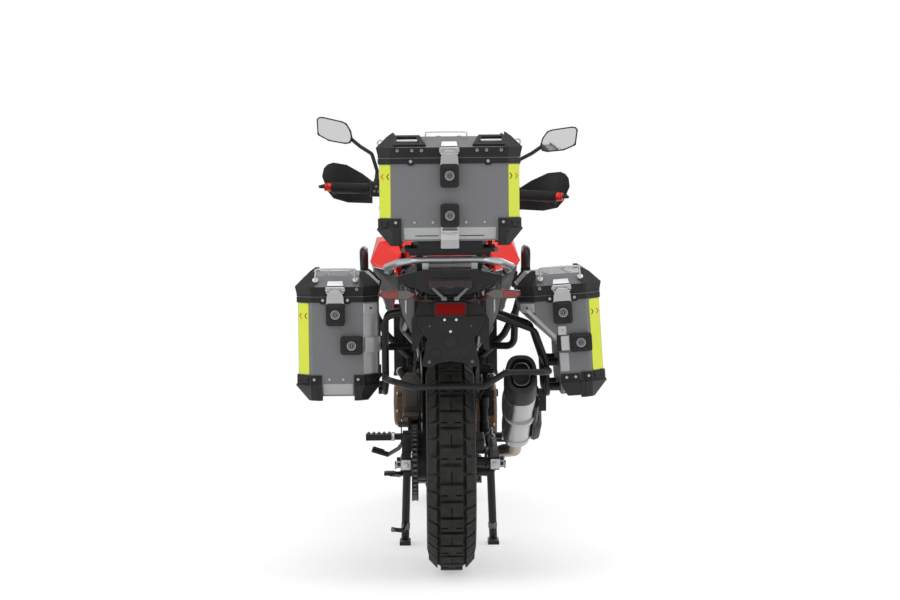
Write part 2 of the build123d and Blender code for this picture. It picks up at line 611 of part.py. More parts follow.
def exhaust():
    """Two header pipes, a collector under the engine, and the silencer high on the right."""
    lean = math.radians(CYLINDER_TILT)
    out = Vector(0, math.cos(lean), -math.sin(lean))
    port = CYLINDER_ORIGIN + out * (HEAD_HALF_DEPTH + FIT) + Vector(0, math.sin(lean), math.cos(lean)) * 188
    port_y = port.Y
    pipes = []
    for x in (-48, 48):
        start = port + Vector(x, 0, 0)
        pipes.append(rod([
            start, start + out * 44, Vector(x * 1.1, port_y + 66, 370),
            Vector(50 + x * 0.4, port_y - 6, 226), Vector(62, port_y - 150, 222)], 19, 30))
    collector = rod([Vector(62, port_y - 130, 222), Vector(66, PIVOT_Y + 88, 222)], 28)
    along = (SILENCER_REAR - SILENCER_FRONT).normalized()
    link = rod([Vector(66, PIVOT_Y + 110, 222), Vector(130, PIVOT_Y - 15, 232),
                Vector(174, PIVOT_Y - 108, 306),
                SILENCER_FRONT - along * 110, SILENCER_FRONT - along * FIT], 22, 50)
    NODES["exhaust_pipe"] = pipes[0].fuse(pipes[1], collector, link)


def silencer():
    """Oval silencer that rises rearwards, with a slash-cut end cap, strap and heat shield."""
    along = (SILENCER_REAR - SILENCER_FRONT).normalized()
    length = (SILENCER_REAR - SILENCER_FRONT).length

    def section(at, width, height):
        centre = SILENCER_FRONT + along * at
        plane = Plane(origin=centre, x_dir=(1, 0, 0), z_dir=along)
        return plane * RectangleRounded(width, height, min(width, height) * 0.42)

    body = loft([section(0, 62, 62), section(70, 88, 116), section(length - 90, 98, 136)], ruled=True)
    cap = loft([section(length - 89.5, 98, 136), section(length - 10, 92, 124), section(length, 84, 112)],
               ruled=True)
    mouth = Plane(origin=SILENCER_FRONT + along * (length - 24), x_dir=(1, 0, 0), z_dir=along)
    hole = extrude(mouth * RectangleRounded(60, 86, 24), amount=60)
    strap = loft([section(length * 0.5, 104, 144), section(length * 0.5 + 24, 104, 145)], ruled=True)
    shield_mid = SILENCER_FRONT + along * (length * 0.42)
    plane = Plane(origin=shield_mid + Vector(44, 0, 0), x_dir=along, z_dir=(1, 0, 0))
    shield = extrude(plane * RectangleRounded(250, 92, 22), amount=14)
    NODES["silencer"] = (body + cap + strap + shield) - hole


# ================================================================= bodywork
TANK_REAR = PIVOT_Y + 110.0


def fuel_tank():
    """Tank over the spars, narrow at the knees."""
    rear_y = TANK_REAR
    front_y = HEAD.Y - 112
    sections = [
        (rear_y, 82, 766, 852, 30), (rear_y + 90, 112, 776, 940, 40), (rear_y + 200, 150, 812, 998, 52),
        (front_y - 70, 152, 846, 1002, 52), (front_y, 118, 880, 984, 36),
    ]
    body = ring_loft(sections)
    cap = Pos(0, rear_y + 215, 994) * Cylinder(42, 22)
    tunnels = both(main_spar(FIT))
    NODES["fuel_tank"] = (body + cap) - tunnels


def seat():
    """Stepped rider and pillion seat on the rails."""
    front = TANK_REAR - FIT
    lift = 30.0
    sections = [
        (-90, 118, RAIL_Z_REAR - 8 + FIT, RAIL_Z_REAR + 46, 22),
        (90, 140, RAIL_Z_REAR - 42 + lift, RAIL_Z_REAR + 50, 26),
        (250, 146, RAIL_Z_FRONT + 66, RAIL_Z_REAR + 34, 26),
        (290, 150, RAIL_Z_FRONT + 52, RAIL_Z_REAR - 12, 24),
        (470, 136, RAIL_Z_FRONT + 24, RAIL_Z_REAR - 34, 22),
        (front, 80, RAIL_Z_FRONT + 26, RAIL_Z_REAR - 26, 20),
    ]
    feet = both(box_between((98, 204, 780), (118, 232, 850))) - both(seat_rail(FIT))
    NODES["seat"] = ring_loft(sections) + feet


FAIRING_WALL = 5.0
FAIRING_STATIONS = [
    # y from the steering head, then x and z of the inner lip, the shoulder, the belly line and the hem
    (-352, (150, 938), (157, 932), (171, 886), (158, 822)),
    (-230, (166, 986), (226, 974), (258, 906), (174, 792)),
    (-60, (172, 994), (238, 984), (262, 900), (194, 700)),
    (90, (150, 976), (180, 966), (200, 890), (190, 762)),
    (188, (106, 948), (119, 940), (125, 896), (113, 846)),
]


def side_fairings():
    """Two creased shrouds beside the tank and radiator."""
    faces = []
    for y, lip, shoulder, belly, hem in FAIRING_STATIONS:
        wall = FAIRING_WALL
        outline = [lip, shoulder, belly, hem, (hem[0] - wall, hem[1]), (belly[0] - wall, belly[1]),
                   (shoulder[0] - wall, shoulder[1] - wall), (lip[0], lip[1] - wall)]
        faces.append(Plane.XZ.offset(-HEAD.Y - y) * make_face(Polyline(*outline, close=True)))
    right = loft(faces, ruled=True)
    arm = box_between((RADIATOR_HALF + FIT, RADIATOR_Y + 4, 728), (RADIATOR_HALF + 24, RADIATOR_Y + 22, 744))
    inside = slab_x([(RADIATOR_Y, 700), (RADIATOR_Y, 760), (RADIATOR_Y + 40, 760),
                     (RADIATOR_Y + 40, 700)], 0, 206)
    NODES["side_fairings"] = both(right.fuse(arm & inside))


NOSE_Y = HEAD.Y + 210
NOSE_SECTIONS = [
    (NOSE_Y - 16, 128, 836, 980, 28), (NOSE_Y + 50, 116, 842, 968, 26), (NOSE_Y + 84, 92, 852, 948, 22)]


def nose():
    """Black nose round the lamps, with a beak under it and a stay back to the steering head."""
    shell = ring_loft(NOSE_SECTIONS)
    pocket = box_between((-96, NOSE_Y + 30, 868), (96, NOSE_Y + 120, 934))
    beak_outline = [(NOSE_Y + 10, 846), (NOSE_Y + 150, 838), (NOSE_Y + 176, 826), (NOSE_Y + 60, 812),
                    (NOSE_Y + 10, 812)]
    beak = slab_x(beak_outline, -46, 46)
    stay = box_between((-20, HEAD.Y + HEAD_RADIUS - 4, HEAD_Z - 12), (20, NOSE_Y - 14, HEAD_Z + 20))
    stay = stay - rod([head_point(0, 0, -120), head_point(0, 0, 120)], HEAD_RADIUS + FIT)
    NODES["nose"] = (shell + beak + stay) - pocket
    lamps = [box_between((x - 42, NOSE_Y + 30 + FIT, 870), (x + 42, NOSE_Y + 80, 932)) for x in (-49, 49)]
    NODES["headlights"] = Compound(children=lamps)


def screen():
    """Curved clear windscreen standing on the nose."""
    base = Vector(0, NOSE_Y - 2, 980)
    height = 390.0
    lean = 27.0
    sheet_radius = 240.0
    outer = Cylinder(sheet_radius, height, align=(Align.CENTER, Align.CENTER, Align.MIN))
    inner = Cylinder(sheet_radius - 4, height, align=(Align.CENTER, Align.CENTER, Align.MIN))
    outline = [(-112, 0), (-150, 150), (-140, 300), (-96, height), (96, height), (140, 300), (150, 150),
               (112, 0)]
    sheet = (outer - inner) & slab_y(outline, 40, sheet_radius + 20)
    sheet = Pos(*base) * Rot(lean, 0, 0) * Pos(0, -sheet_radius, -36) * sheet
    room = [(y, half + FIT, low, high + FIT, corner) for y, half, low, high, corner in NOSE_SECTIONS]
    NODES["windscreen"] = (sheet - box_between((-300, 0, 0), (300, 3000, 962))) - ring_loft(room)


def dash():
    """Upright display behind the screen, on a leg from the nose's stay."""
    body = Pos(0, HEAD.Y + 54, 1150) * Rot(-22, 0, 0) * Box(150, 20, 96)
    leg = slab_x([(HEAD.Y + 134, HEAD_Z + 20 + FIT), (HEAD.Y + 78, 1080), (HEAD.Y + 58, 1144),
                  (HEAD.Y + 72, 1144),
                  (HEAD.Y + 96, 1080), (HEAD.Y + 154, HEAD_Z + 20 + FIT)], -14, 14)
    NODES["dash"] = body + leg


BASH_Z = 176.0


def bash_plate():
    low = BASH_Z
    outline = [(PIVOT_Y + 80, low), (PIVOT_Y + 80, low + 5), (PIVOT_Y + 462, low + 5),
               (PIVOT_Y + 550, low + 150),
               (PIVOT_Y + 556, low + 146), (PIVOT_Y + 466, low)]
    floor_plate = slab_x(outline, -108, 108)
    side = [(PIVOT_Y + 80, low), (PIVOT_Y + 96, low + 52), (PIVOT_Y + 440, low + 60),
            (PIVOT_Y + 550, low + 150),
            (PIVOT_Y + 556, low + 146), (PIVOT_Y + 466, low)]
    tabs = []
    for y in (PIVOT_Y + 122, PIVOT_Y + 366):
        tabs.append(both(box_between((108, y - 10, low + 30), (112, y + 10, 263))))
        tabs.append(both(box_between((ENGINE_HALF + FIT, y - 10, 256), (112, y + 10, 263))))
    NODES["bash_plate"] = floor_plate.fuse(both(slab_x(side, 108, 112)), *tabs)


def crash_bars():
    """One loop of tube on each side, outside the fairing."""
    loop = rod([
        Vector(103, HEAD.Y - 73, 602), Vector(236, HEAD.Y - 170, 606), Vector(240, HEAD.Y - 190, 720),
        Vector(281, HEAD.Y - 186, 866), Vector(284, HEAD.Y - 172, 940), Vector(281, HEAD.Y - 40, 942),
        Vector(281, HEAD.Y - 20, 780),
        Vector(206, HEAD.Y - 61, 640), Vector(104, HEAD.Y - 73, 540)], 12.5, 36)
    loop = loop - down_tube(FIT)
    NODES["crash_bars"] = Compound(children=[loop, mirror(loop, about=Plane.YZ)])


# ================================================================= tail
COWL_STATIONS = [
    # y, then x and z round the right half from the top middle to the bottom middle
    (-388, ((0, 935), (72, 935), (148, 919), (142, 905), (92, 880), (58, 866), (0, 866))),
    (-330, ((0, 935), (78, 935), (154, 917), (149, 896), (104, 866), (64, 850), (0, 850))),
    (-100, ((0, 914), (96, 914), (156, 906), (150, 842), (120, 820), (80, 812), (0, 812))),
]
COWL_WALL = 6.0


def cowl_loft(inset, stretch):
    """The cowl's outside, or with an inset the room inside it."""
    faces = []
    for k, (y, half) in enumerate(COWL_STATIONS):
        right = [(max(0, x - inset), z - inset if i < 3 else z + (inset if inset else 0) - stretch)
                 for i, (x, z) in enumerate(half)]
        left = [(-x, z) for x, z in reversed(right[1:-1])]
        at_y = y + (inset if k == 0 else 0) + (inset + 1 if k == len(COWL_STATIONS) - 1 and inset else 0)
        faces.append(Plane.XZ.offset(-at_y) * make_face(Polyline(*right, *left, close=True)))
    return loft(faces, ruled=True)


def tail():
    """Bladed tail cowl over the rails, open below, with its lamp and side panels."""
    cowl = cowl_loft(0, 0) - cowl_loft(COWL_WALL, 60)
    boss = both(box_between((80, -214, RAIL_Z_REAR - 14), (106, -186, 919))) - both(seat_rail(FIT))
    side_panel = slab_y([(100, 868), (144.5, 905), (149, 905), (150, 845), (140, 800), (112, 742), (62, 758),
                         (100, 800)], -300, -292)
    cowl = cowl.fuse(boss, both(side_panel))
    lamp_seat = box_between((-60, -400, 884), (60, -376, 908))
    NODES["tail_cowl"] = cowl - lamp_seat
    lamp = box_between((-60 + FIT, -398, 884 + FIT), (60 - FIT, -376 - FIT, 908 - FIT))
    NODES["tail_lamp"] = lamp


def plate_holder():
    """Blank number plate bracket on an arched inner mudguard, with the reflector and indicators."""
    y = RAIL_END_Y - 20
    outline = [
        (-97, 800), (97, 800), (94, 776), (67, 734), (84, 656), (60, 652), (40, 664), (0, 670), (-40, 664),
        (-60, 652), (-84, 656), (-67, 734), (-94, 776),
    ]
    plate = slab_y(outline, y, y + 4)
    holes = [Pos(x, y, z) * Rot(90, 0, 0) * Cylinder(r, 40) for x, z, r in
             ((0, 723, 16), (-44, 690, 11), (44, 690, 11))]
    plate = plate.cut(*holes)
    arch = [(-112, 700), (-112, 790), (-88, 836), (88, 836), (112, 790), (112, 700), (100, 700),
            (82, 742), (-82, 742),
            (-100, 700)]
    guard = slab_y(arch, y + 6, y + 14) + box_between((-40, y + 3.5, 770), (40, y + 8, 802))
    foot = box_between((-46, y + 6, 820), (46, y + 36, 849.4))
    NODES["plate_holder"] = plate.fuse(guard, foot)
    NODES["rear_reflector"] = box_between((-43, y - 8, 803), (43, y + 5.7, 838))
    signals = []
    for side in (-1, 1):
        stalk = rod([Vector(side * (46 + FIT), y + 22, 842), Vector(side * 66, y + 22, 842),
                     Vector(side * 86, y + 18, 847),
                     Vector(side * 100, y, 852), Vector(side * 108, y - 20, 866)], 6.5, 12)
        blade = slab_y([(side * 100, 866), (side * 124, 880), (side * 200, 874), (side * 202, 862),
                        (side * 190, 853),
                        (side * 124, 850)], y - 44, y - 14)
        signals.append(stalk + blade)
    NODES["rear_indicators"] = Compound(children=signals)


def hugger():
    """Mudguard close over the rear tyre, with the chain guard on its left."""
    inner = REAR_TYRE_RADIUS + 18
    outline = [(-84, inner - 60), (-88, inner - 10), (-60, inner + 14), (60, inner + 14), (88, inner - 10),
               (84, inner - 60), (81, inner - 60), (84, inner - 11), (58, inner + 10), (-58, inner + 10),
               (-84, inner - 11), (-81, inner - 60)]
    ring = wheel_revolve(outline, (0, 0, REAR_AXLE_Z))
    keep = slab_x([(0, REAR_AXLE_Z), (500, REAR_AXLE_Z + 90), (500, REAR_AXLE_Z + 500),
                   (20, REAR_AXLE_Z + 500)], -200, 200)
    beam_top = PIVOT_Z + ARM_HEIGHT / 2
    foot = box_between((-40, 351, beam_top + FIT), (40, BEAM_Y + 14, beam_top + 22))
    run = [(30, 470), (30, 466), (350, 446), (350, 450)]
    guard = slab_x(run, -SWINGARM_HALF_WIDTH + 4, -94)
    tab = slab_x([(190, 366), (214, 366), (214, 457), (190, 458)], -SWINGARM_HALF_WIDTH - 4,
                 -SWINGARM_HALF_WIDTH - FIT)
    tab += box_between((-SWINGARM_HALF_WIDTH - 4, 190, 452), (-SWINGARM_HALF_WIDTH + 6, 214, 457))
    NODES["rear_hugger"] = Compound(children=[(ring & keep) + foot, guard + tab])


def rear_carrier():
    """Aluminium grab rail round the tail and the black carrier under the top case."""
    rail = rod([Vector(176, 30, 912), Vector(186, -120, 932), Vector(150, -270, 952), Vector(96, -332, 962),
                Vector(-96, -332, 962), Vector(-150, -270, 952), Vector(-186, -120, 932),
                Vector(-176, 30, 912)],
               11, 44)
    posts = both(box_between((62, -338, 935 + FIT), (80, -322, 960)))
    NODES["grab_rail"] = rail.fuse(posts)
    bottom, half = TOP_CASE["bottom"], TOP_CASE["width"] / 2
    top = bottom - FIT
    wide, rear, front = half - 60, half - 72, half - 88
    deck = slab_z([(-rear, -372), (rear, -372), (wide, -340), (front, -96), (-front, -96), (-wide, -340)],
                  bottom - 34, bottom - 22)
    wide, rear, front = half - 96, half - 108, half - 104
    adaptor = slab_z([(-rear, -384), (rear, -384), (wide, -360), (front, -110), (-front, -110),
                      (-wide, -360)],
                     bottom - 22, top)
    cross = box_between((82 - half, -352, bottom - 44), (half - 82, -336, bottom - 30))
    legs = [box_between((x - 12, low_y, low_z), (x + 12, low_y + 30, bottom - 30))
            for x in (-84, 84) for low_y, low_z in ((-300, 934), (-140, 916))]
    NODES["top_rack"] = deck.fuse(adaptor, cross, *legs) - cowl_loft(-FIT, 0)


# ================================================================= cases
def octagon(width, length, corner, grow=0.0):
    """Plan outline centred on the origin, with its four corners cut off."""
    w, l = width / 2 + grow, length / 2 + grow
    c = corner + grow * (2 - math.sqrt(2))
    return [(-w + c, -l), (w - c, -l), (w, -l + c), (w, l - c), (w - c, l), (-w + c, l), (-w, l - c),
            (-w, -l + c)]


def prismoid(case, z_low, z_high, grow_low, grow_high):
    """A case section between two plan outlines."""
    def face(grow, z):
        outline = octagon(case["width"], case["length"], case["corner"], grow)
        return Pos(0, 0, z) * make_face(Polyline(*outline, close=True))

    return loft([face(grow_low, z_low), face(grow_high, z_high)], ruled=True)


def notch_cut(case, depth, lift):
    """What the cut-away for the silencer takes from a case."""
    side = -case["width"] / 2
    top = case["seam"] - SEAM_GAP - NOTCH_TOP + lift
    low = case["bottom"] - 50
    profile = [(side - 50, top + 50), (side, top), (side + depth, top - depth), (side + depth, low),
               (side - 50, low)]
    return slab_y(profile, -case["length"], case["length"])


def case_outside(case, notch):
    """The filled form of a case below its seam, with its bevelled foot and its rim."""
    bevel = case["bevel"]
    z0, z1 = case["bottom"], case["seam"] - SEAM_GAP
    outer = prismoid(case, z0, z0 + bevel, -bevel * 0.7, 0) + prismoid(case, z0 + bevel, z1, 0, 0)
    outer += prismoid(case, z1 - RIM_HEIGHT, z1, RIM_PROUD, RIM_PROUD)
    return outer - notch_cut(case, NOTCH_DEPTH, 0) if notch else outer


def case_body(case, notch=False):
    """Hollow aluminium box, centred on X and Y."""
    wall, bevel = CASE_WALL, case["bevel"]
    z0, z1 = case["bottom"], case["seam"] - SEAM_GAP
    inner = prismoid(case, z0 + wall, z0 + bevel, -bevel * 0.7 - wall, -wall)
    inner += prismoid(case, z0 + bevel, z1 + 1, -wall, -wall)
    if notch:
        inner = inner - notch_cut(case, NOTCH_DEPTH + wall, wall * 0.42)
    return case_outside(case, notch) - inner


def case_lid(case):
    """Hollow lid with an upright band and a bevelled top."""
    wall = CASE_WALL
    z0, z1 = case["seam"], case["seam"] + LID_BAND
    z2 = z0 + case["lid"]
    outer = prismoid(case, z0, z1, RIM_PROUD, RIM_PROUD) + prismoid(case, z1, z2, 0, -LID_BEVEL)
    inner = prismoid(case, z0 - 1, z1, RIM_PROUD - wall - 2, RIM_PROUD - wall - 2)
    inner += prismoid(case, z1 - 0.01, z2 - wall, -wall - 2, -LID_BEVEL - wall)
    return outer - inner


GUARD_REACH = 28.0               # along the flat of each wall
LID_GUARD_REACH = 9.0


def corner_regions(case, reach):
    """Boxes over the four corners of a case: rear left, front left, rear right, front right."""
    w, l = case["width"] / 2, case["length"] / 2
    boxes = []
    for sx in (-1, 1):
        for sy in (-1, 1):
            x = sorted((sx * (w - case["corner"] - reach), sx * (w + 40)))
            y = sorted((sy * (l - case["corner"] - reach), sy * (l + 40)))
            boxes.append(box_between((x[0], y[0], 0), (x[1], y[1], 2000)))
    return boxes


def guard_shell(case, proud):
    """The skin that the four lower corner guards are cut from."""
    z0, bevel = case["bottom"], case["bevel"]
    tip, top = z0 + bevel - 6, z0 + GUARD_TOP
    slope = (tip - z0 + GUARD_DROP) * 0.8
    ledge = max(1.0, proud - 4)
    hull = prismoid(case, z0 - GUARD_DROP, tip, proud - slope, proud)
    hull += prismoid(case, tip, tip + 6, proud, ledge) + prismoid(case, tip + 6, top, ledge, ledge)
    core = prismoid(case, z0, z0 + bevel, -bevel * 0.7, 0) + prismoid(case, z0 + bevel, top + 9, 0, 0)
    return hull - core


def case_guards(case, slim=()):
    """Moulded guards on the four lower corners, which also serve as feet; those in slim barely stand out."""
    shells = {True: guard_shell(case, GUARD_INNER_PROUD), False: guard_shell(case, GUARD_PROUD)}
    return [shells[k in slim] & region for k, region in enumerate(corner_regions(case, GUARD_REACH))]


def lid_guards(case):
    """Moulded guards on the four upper corners of a lid."""
    z0, z1 = case["seam"], case["seam"] + LID_BAND
    z2 = z0 + case["lid"]
    hull = prismoid(case, z0 + 8, z1, RIM_PROUD + 1, GUARD_PROUD)
    hull += prismoid(case, z1, z2 + 12, GUARD_PROUD, GUARD_PROUD - (LID_BEVEL + 12))
    core = prismoid(case, z0, z1, RIM_PROUD, RIM_PROUD) + prismoid(case, z1, z2, 0, -LID_BEVEL)
    core += prismoid(case, z2, z2 + 20, -LID_BEVEL, -LID_BEVEL - 20)
    shell = hull - core
    return [shell & region for region in corner_regions(case, LID_GUARD_REACH)]


def latch(case, x, z, width, height):
    """Lock body on the rear wall with its round key boss."""
    y = -case["length"] / 2
    body = box_between((x - width / 2, y - LATCH_DEPTH, z - height / 2), (x + width / 2, y, z + height / 2))
    body = fillet(body.edges().filter_by(Axis.Y), 9)
    knob = Pos(x, y - LATCH_DEPTH - KNOB_DEPTH / 2 + 1, z) * Rot(90, 0, 0) * Cylinder(11, KNOB_DEPTH + 2)
    return body + knob


def hinge(case, reach, split):
    """Pin and knuckles in front of a case: the box's share, and the lid's one long knuckle."""
    y, z, wall = case["length"] / 2 + HINGE_AHEAD, case["seam"], case["length"] / 2
    pin = cylinder_x(-reach, reach, y, z, HINGE_PIN_RADIUS)
    fixed = [cylinder_x(split + FIT, reach, y, z, HINGE_RADIUS),
             box_between((split + FIT, wall - 1, z - 14), (reach, y - 2, z - 4)),
             box_between((split + FIT, y - 6, z - 14), (reach, y + 4, z - 3))]
    box_part = pin.fuse(*[both(p) for p in fixed])
    knuckle = cylinder_x(-split, split, y, z, HINGE_RADIUS)
    leaf = box_between((-split, wall + RIM_PROUD - 1, z + 3), (split, y + 3, z + 9))
    lid_part = (knuckle + leaf) - cylinder_x(-reach, reach, y, z, HINGE_PIN_RADIUS + RUNNING)
    return box_part, lid_part


TOP_LATCH = (52, 66)
TOP_LATCH_Z = (1205.0, 1092.0)
SIDE_LATCHES = {
    # case: x, z, width and height of each lock
    "left": [(-5, 797, 54, 66), (42, 705, 65, 53)],
    "right": [(5, 797, 54, 66), (52, 705, 65, 53)],
}


def top_case():
    case = TOP_CASE
    place = Pos(0, case["rear_y"] + case["length"] / 2, 0)
    on_box, on_lid = hinge(case, 92, 60)
    NODES["top_case_box"] = place * case_body(case).fuse(on_box)
    locks = [latch(case, 0, z, *TOP_LATCH) for z in TOP_LATCH_Z]
    NODES["top_case_fittings"] = place * Compound(children=case_guards(case, slim=(1, 3)) + locks)
    NODES["top_case_lid"] = place * case_lid(case).fuse(on_lid)
    NODES["top_case_lid_guards"] = place * Compound(children=lid_guards(case))


def side_case(name, place, notch):
    case = SIDE_CASE
    on_box, on_lid = hinge(case, 56, 34)
    NODES[name + "_case_box"] = place * case_body(case, notch).fuse(on_box)
    guards = case_guards(case)
    if notch:
        side = -case["width"] / 2 + NOTCH_DEPTH
        keep = box_between((side + FIT, -1000, 0), (1000, 1000, 2000))
        guards = [g & keep for g in guards if (g & keep).volume > 100]
    locks = [latch(case, x, z, width, height) for x, z, width, height in SIDE_LATCHES[name]]
    NODES[name + "_case_fittings"] = place * Compound(children=guards + locks)
    NODES[name + "_case_lid"] = place * case_lid(case).fuse(on_lid)
    NODES[name + "_case_lid_guards"] = place * Compound(children=lid_guards(case))


LEFT_CASE_PLACE = Pos(LEFT_CASE_X, SIDE_CASE["rear_y"] + SIDE_CASE["length"] / 2, 0)
RIGHT_CASE_PLACE = (Pos(RIGHT_CASE_X, SIDE_CASE["rear_y"] + SIDE_CASE["length"] / 2, SIDE_CASE["seam"])
                    * Rot(0, -RIGHT_CASE_TILT, 0) * Pos(0, 0, -SIDE_CASE["seam"]))


def pannier_racks():
    """A tube loop beside each side case, tied together behind the tyre."""
    left = rod([Vector(-125.6, 190, 787), Vector(-194, 170, 780), Vector(-194, 150, 560),
                Vector(-194, -150, 560),
                Vector(-194, -150, 786), Vector(-100, -150, 800), Vector(-97, -150, 841.5)], 8.5, 26)
    right = rod([Vector(126.5, 190, 787), Vector(253, 160, 742), Vector(286, 140, 640), Vector(290, 130, 552),
                 Vector(290, -150, 552), Vector(286, -150, 650), Vector(253, -150, 742),
                 Vector(100, -150, 800),
                 Vector(97, -150, 841.5)], 8.5, 26)
    tie = rod([Vector(-194, -150, 612), Vector(-192, -262, 612), Vector(-110, -276, 588),
               Vector(96, -276, 588),
               Vector(160, -276, 628), Vector(290, -262, 628), Vector(288, -150, 628)], 9.5, 30)
    left_bar = rod([Vector(-194, 158, 700), Vector(-194, -150, 700)], 8.5)
    right_bar = rod([Vector(287, 140, 640), Vector(287, -150, 640)], 8.5)
    lean = math.tan(math.radians(RIGHT_CASE_TILT))
    left_wall = LEFT_CASE_X + SIDE_CASE["width"] / 2
    pucks = []
    for y in (-60, 110):
        for z in (560, 700):
            pucks.append(cylinder_x(left_wall + FIT, -194, y, z, 12))
        for z in (565, 640):
            wall = RIGHT_CASE_X - SIDE_CASE["width"] / 2 + NOTCH_DEPTH + (SIDE_CASE["seam"] - z - 12) * lean
            pucks.append(cylinder_x(288, wall - 2 * FIT, y, z, 12))
    strap_face = SILENCER_FRONT.X + 58
    hanger = box_between((strap_face + FIT, -28, 488), (292, -10, 556))
    NODES["pannier_racks"] = left.fuse(right, tie, left_bar, right_bar, hanger, *pucks)


# ================================================================= front end
def fork_leg(x, room=0.0):
    """One leg: outer tube, slider and the foot that holds the axle."""
    axle = Vector(x, FRONT_AXLE.Y, FRONT_AXLE.Z)
    mid = head_point(x, FORK_OFFSET, -HEAD_LENGTH / 2 - 210)
    tube = rod([head_point(x, FORK_OFFSET, HEAD_LENGTH / 2 + 46), mid], FORK_TUBE_RADIUS + room)
    slider = rod([mid, axle + AXIS_UP * 10], FORK_SLIDER_RADIUS + room)
    return tube.fuse(slider, rod([axle + AXIS_UP * 60, axle - AXIS_UP * 26], FORK_SLIDER_RADIUS + 5 + room))


def fork():
    """Upside-down fork with its yokes, stem and axle."""
    parts = [fork_leg(-FORK_SPREAD), fork_leg(FORK_SPREAD)]
    for up in (HEAD_LENGTH / 2 + 2, -HEAD_LENGTH / 2 - 2 - YOKE_THICKNESS):
        plane = Plane(origin=head_point(0, 0, up), x_dir=(1, 0, 0), z_dir=AXIS_UP)
        half = FORK_SPREAD + 34
        outline = [(-half, FORK_OFFSET - 26), (-half + 14, FORK_OFFSET - 36), (-42, -34), (42, -34),
                   (half - 14, FORK_OFFSET - 36), (half, FORK_OFFSET - 26), (half, FORK_OFFSET + 26),
                   (half - 14, FORK_OFFSET + 36),
                   (60, FORK_OFFSET + 20), (-60, FORK_OFFSET + 20), (-half + 14, FORK_OFFSET + 36),
                   (-half, FORK_OFFSET + 26)]
        parts.append(extrude(plane * make_face(Polyline(*outline, close=True)), amount=YOKE_THICKNESS))
    parts.append(rod([head_point(0, 0, -HEAD_LENGTH / 2 - 20), head_point(0, 0, HEAD_LENGTH / 2 + 20)],
                     STEM_RADIUS))
    parts.append(cylinder_x(-FORK_SPREAD - 20, FORK_SPREAD + 20, FRONT_AXLE.Y, FRONT_AXLE.Z, AXLE_RADIUS))
    for side in (-1, 1):
        low, high = sorted((side * (FRONT_HUB_LENGTH / 2 + 4), side * (FORK_SPREAD - 14)))
        parts.append(cylinder_x(low, high, FRONT_AXLE.Y, FRONT_AXLE.Z, 14))
    NODES["fork"] = parts[0].fuse(*parts[1:])


BAR_CENTRE = head_point(0, -6, HEAD_LENGTH / 2 + YOKE_THICKNESS + 62)
GRIP_Z = 1142.0
GRIP_END = 392.0
GRIP_LENGTH = 128.0
WEIGHT_LENGTH = 24.0
WEIGHT_RADIUS = 13.0
GRIP_Y = BAR_CENTRE.Y - 62


def handlebar():
    """Tapered bar on risers, with grips, switch boxes and levers."""
    side = [Vector(0, BAR_CENTRE.Y, BAR_CENTRE.Z), Vector(90, BAR_CENTRE.Y, BAR_CENTRE.Z),
            Vector(200, BAR_CENTRE.Y - 14, GRIP_Z), Vector(GRIP_END, GRIP_Y, GRIP_Z)]
    half = rod(side, 11, 50)
    grip_dir = (side[3] - side[2]).normalized()
    grip = rod([side[3] - grip_dir * GRIP_LENGTH, side[3]], 17)
    weight = rod([side[3], side[3] + grip_dir * WEIGHT_LENGTH], WEIGHT_RADIUS)
    box = Pos(*(side[3] - grip_dir * (GRIP_LENGTH + 30))) * Box(46, 46, 50)
    lever = rod([side[3] - grip_dir * (GRIP_LENGTH + 26) + Vector(0, 24, -4),
                 side[3] - grip_dir * 96 + Vector(0, 62, -14),
                 side[3] + Vector(-4, 56, -16)], 6, 30)
    riser = rod([head_point(32, -6, HEAD_LENGTH / 2 + YOKE_THICKNESS + 2 + FIT),
                 BAR_CENTRE + Vector(32, 0, 0)], 15)
    right = half.fuse(grip, weight, box, lever, riser)
    NODES["handlebar"] = right + mirror(right, about=Plane.YZ)


GUARD_OUTLINE = [(400, 1228), (355, 1222), (298, 1193), (262, 1168), (258, 1090), (345, 1089), (395, 1102),
                 (416, 1128), (435, 1178), (430, 1207), (418, 1221)]
GUARD_BEND_RADIUS = 230.0
MIRROR_OUTLINE = [(436, 1386), (449, 1384), (456, 1376), (451, 1322), (410, 1302), (352, 1294), (334, 1298),
                  (328, 1318), (334, 1342), (350, 1366), (366, 1373)]


def handguards():
    """Bent shields ahead of the grips, each on an arm from the bar's end."""
    wall = 5.0
    middle = Vector(300, GRIP_Y + 110 - GUARD_BEND_RADIUS, 1000)
    tall = dict(height=320, align=(Align.CENTER, Align.CENTER, Align.MIN))
    bend = Pos(*middle) * (Cylinder(GUARD_BEND_RADIUS, **tall) - Cylinder(GUARD_BEND_RADIUS - wall, **tall))
    shield = bend & slab_y(GUARD_OUTLINE, GRIP_Y, GRIP_Y + 140)
    end = Vector(GRIP_END, GRIP_Y, GRIP_Z)
    out = (end - Vector(200, BAR_CENTRE.Y - 14, GRIP_Z)).normalized()
    arm = rod([end + out * (WEIGHT_LENGTH + FIT), end + out * (WEIGHT_LENGTH + 18),
               Vector(GRIP_END + 28, GRIP_Y + 74, GRIP_Z + 6)], 5.5, 6)
    right = shield + arm
    NODES["handguards"] = Compound(children=[right, mirror(right, about=Plane.YZ)])


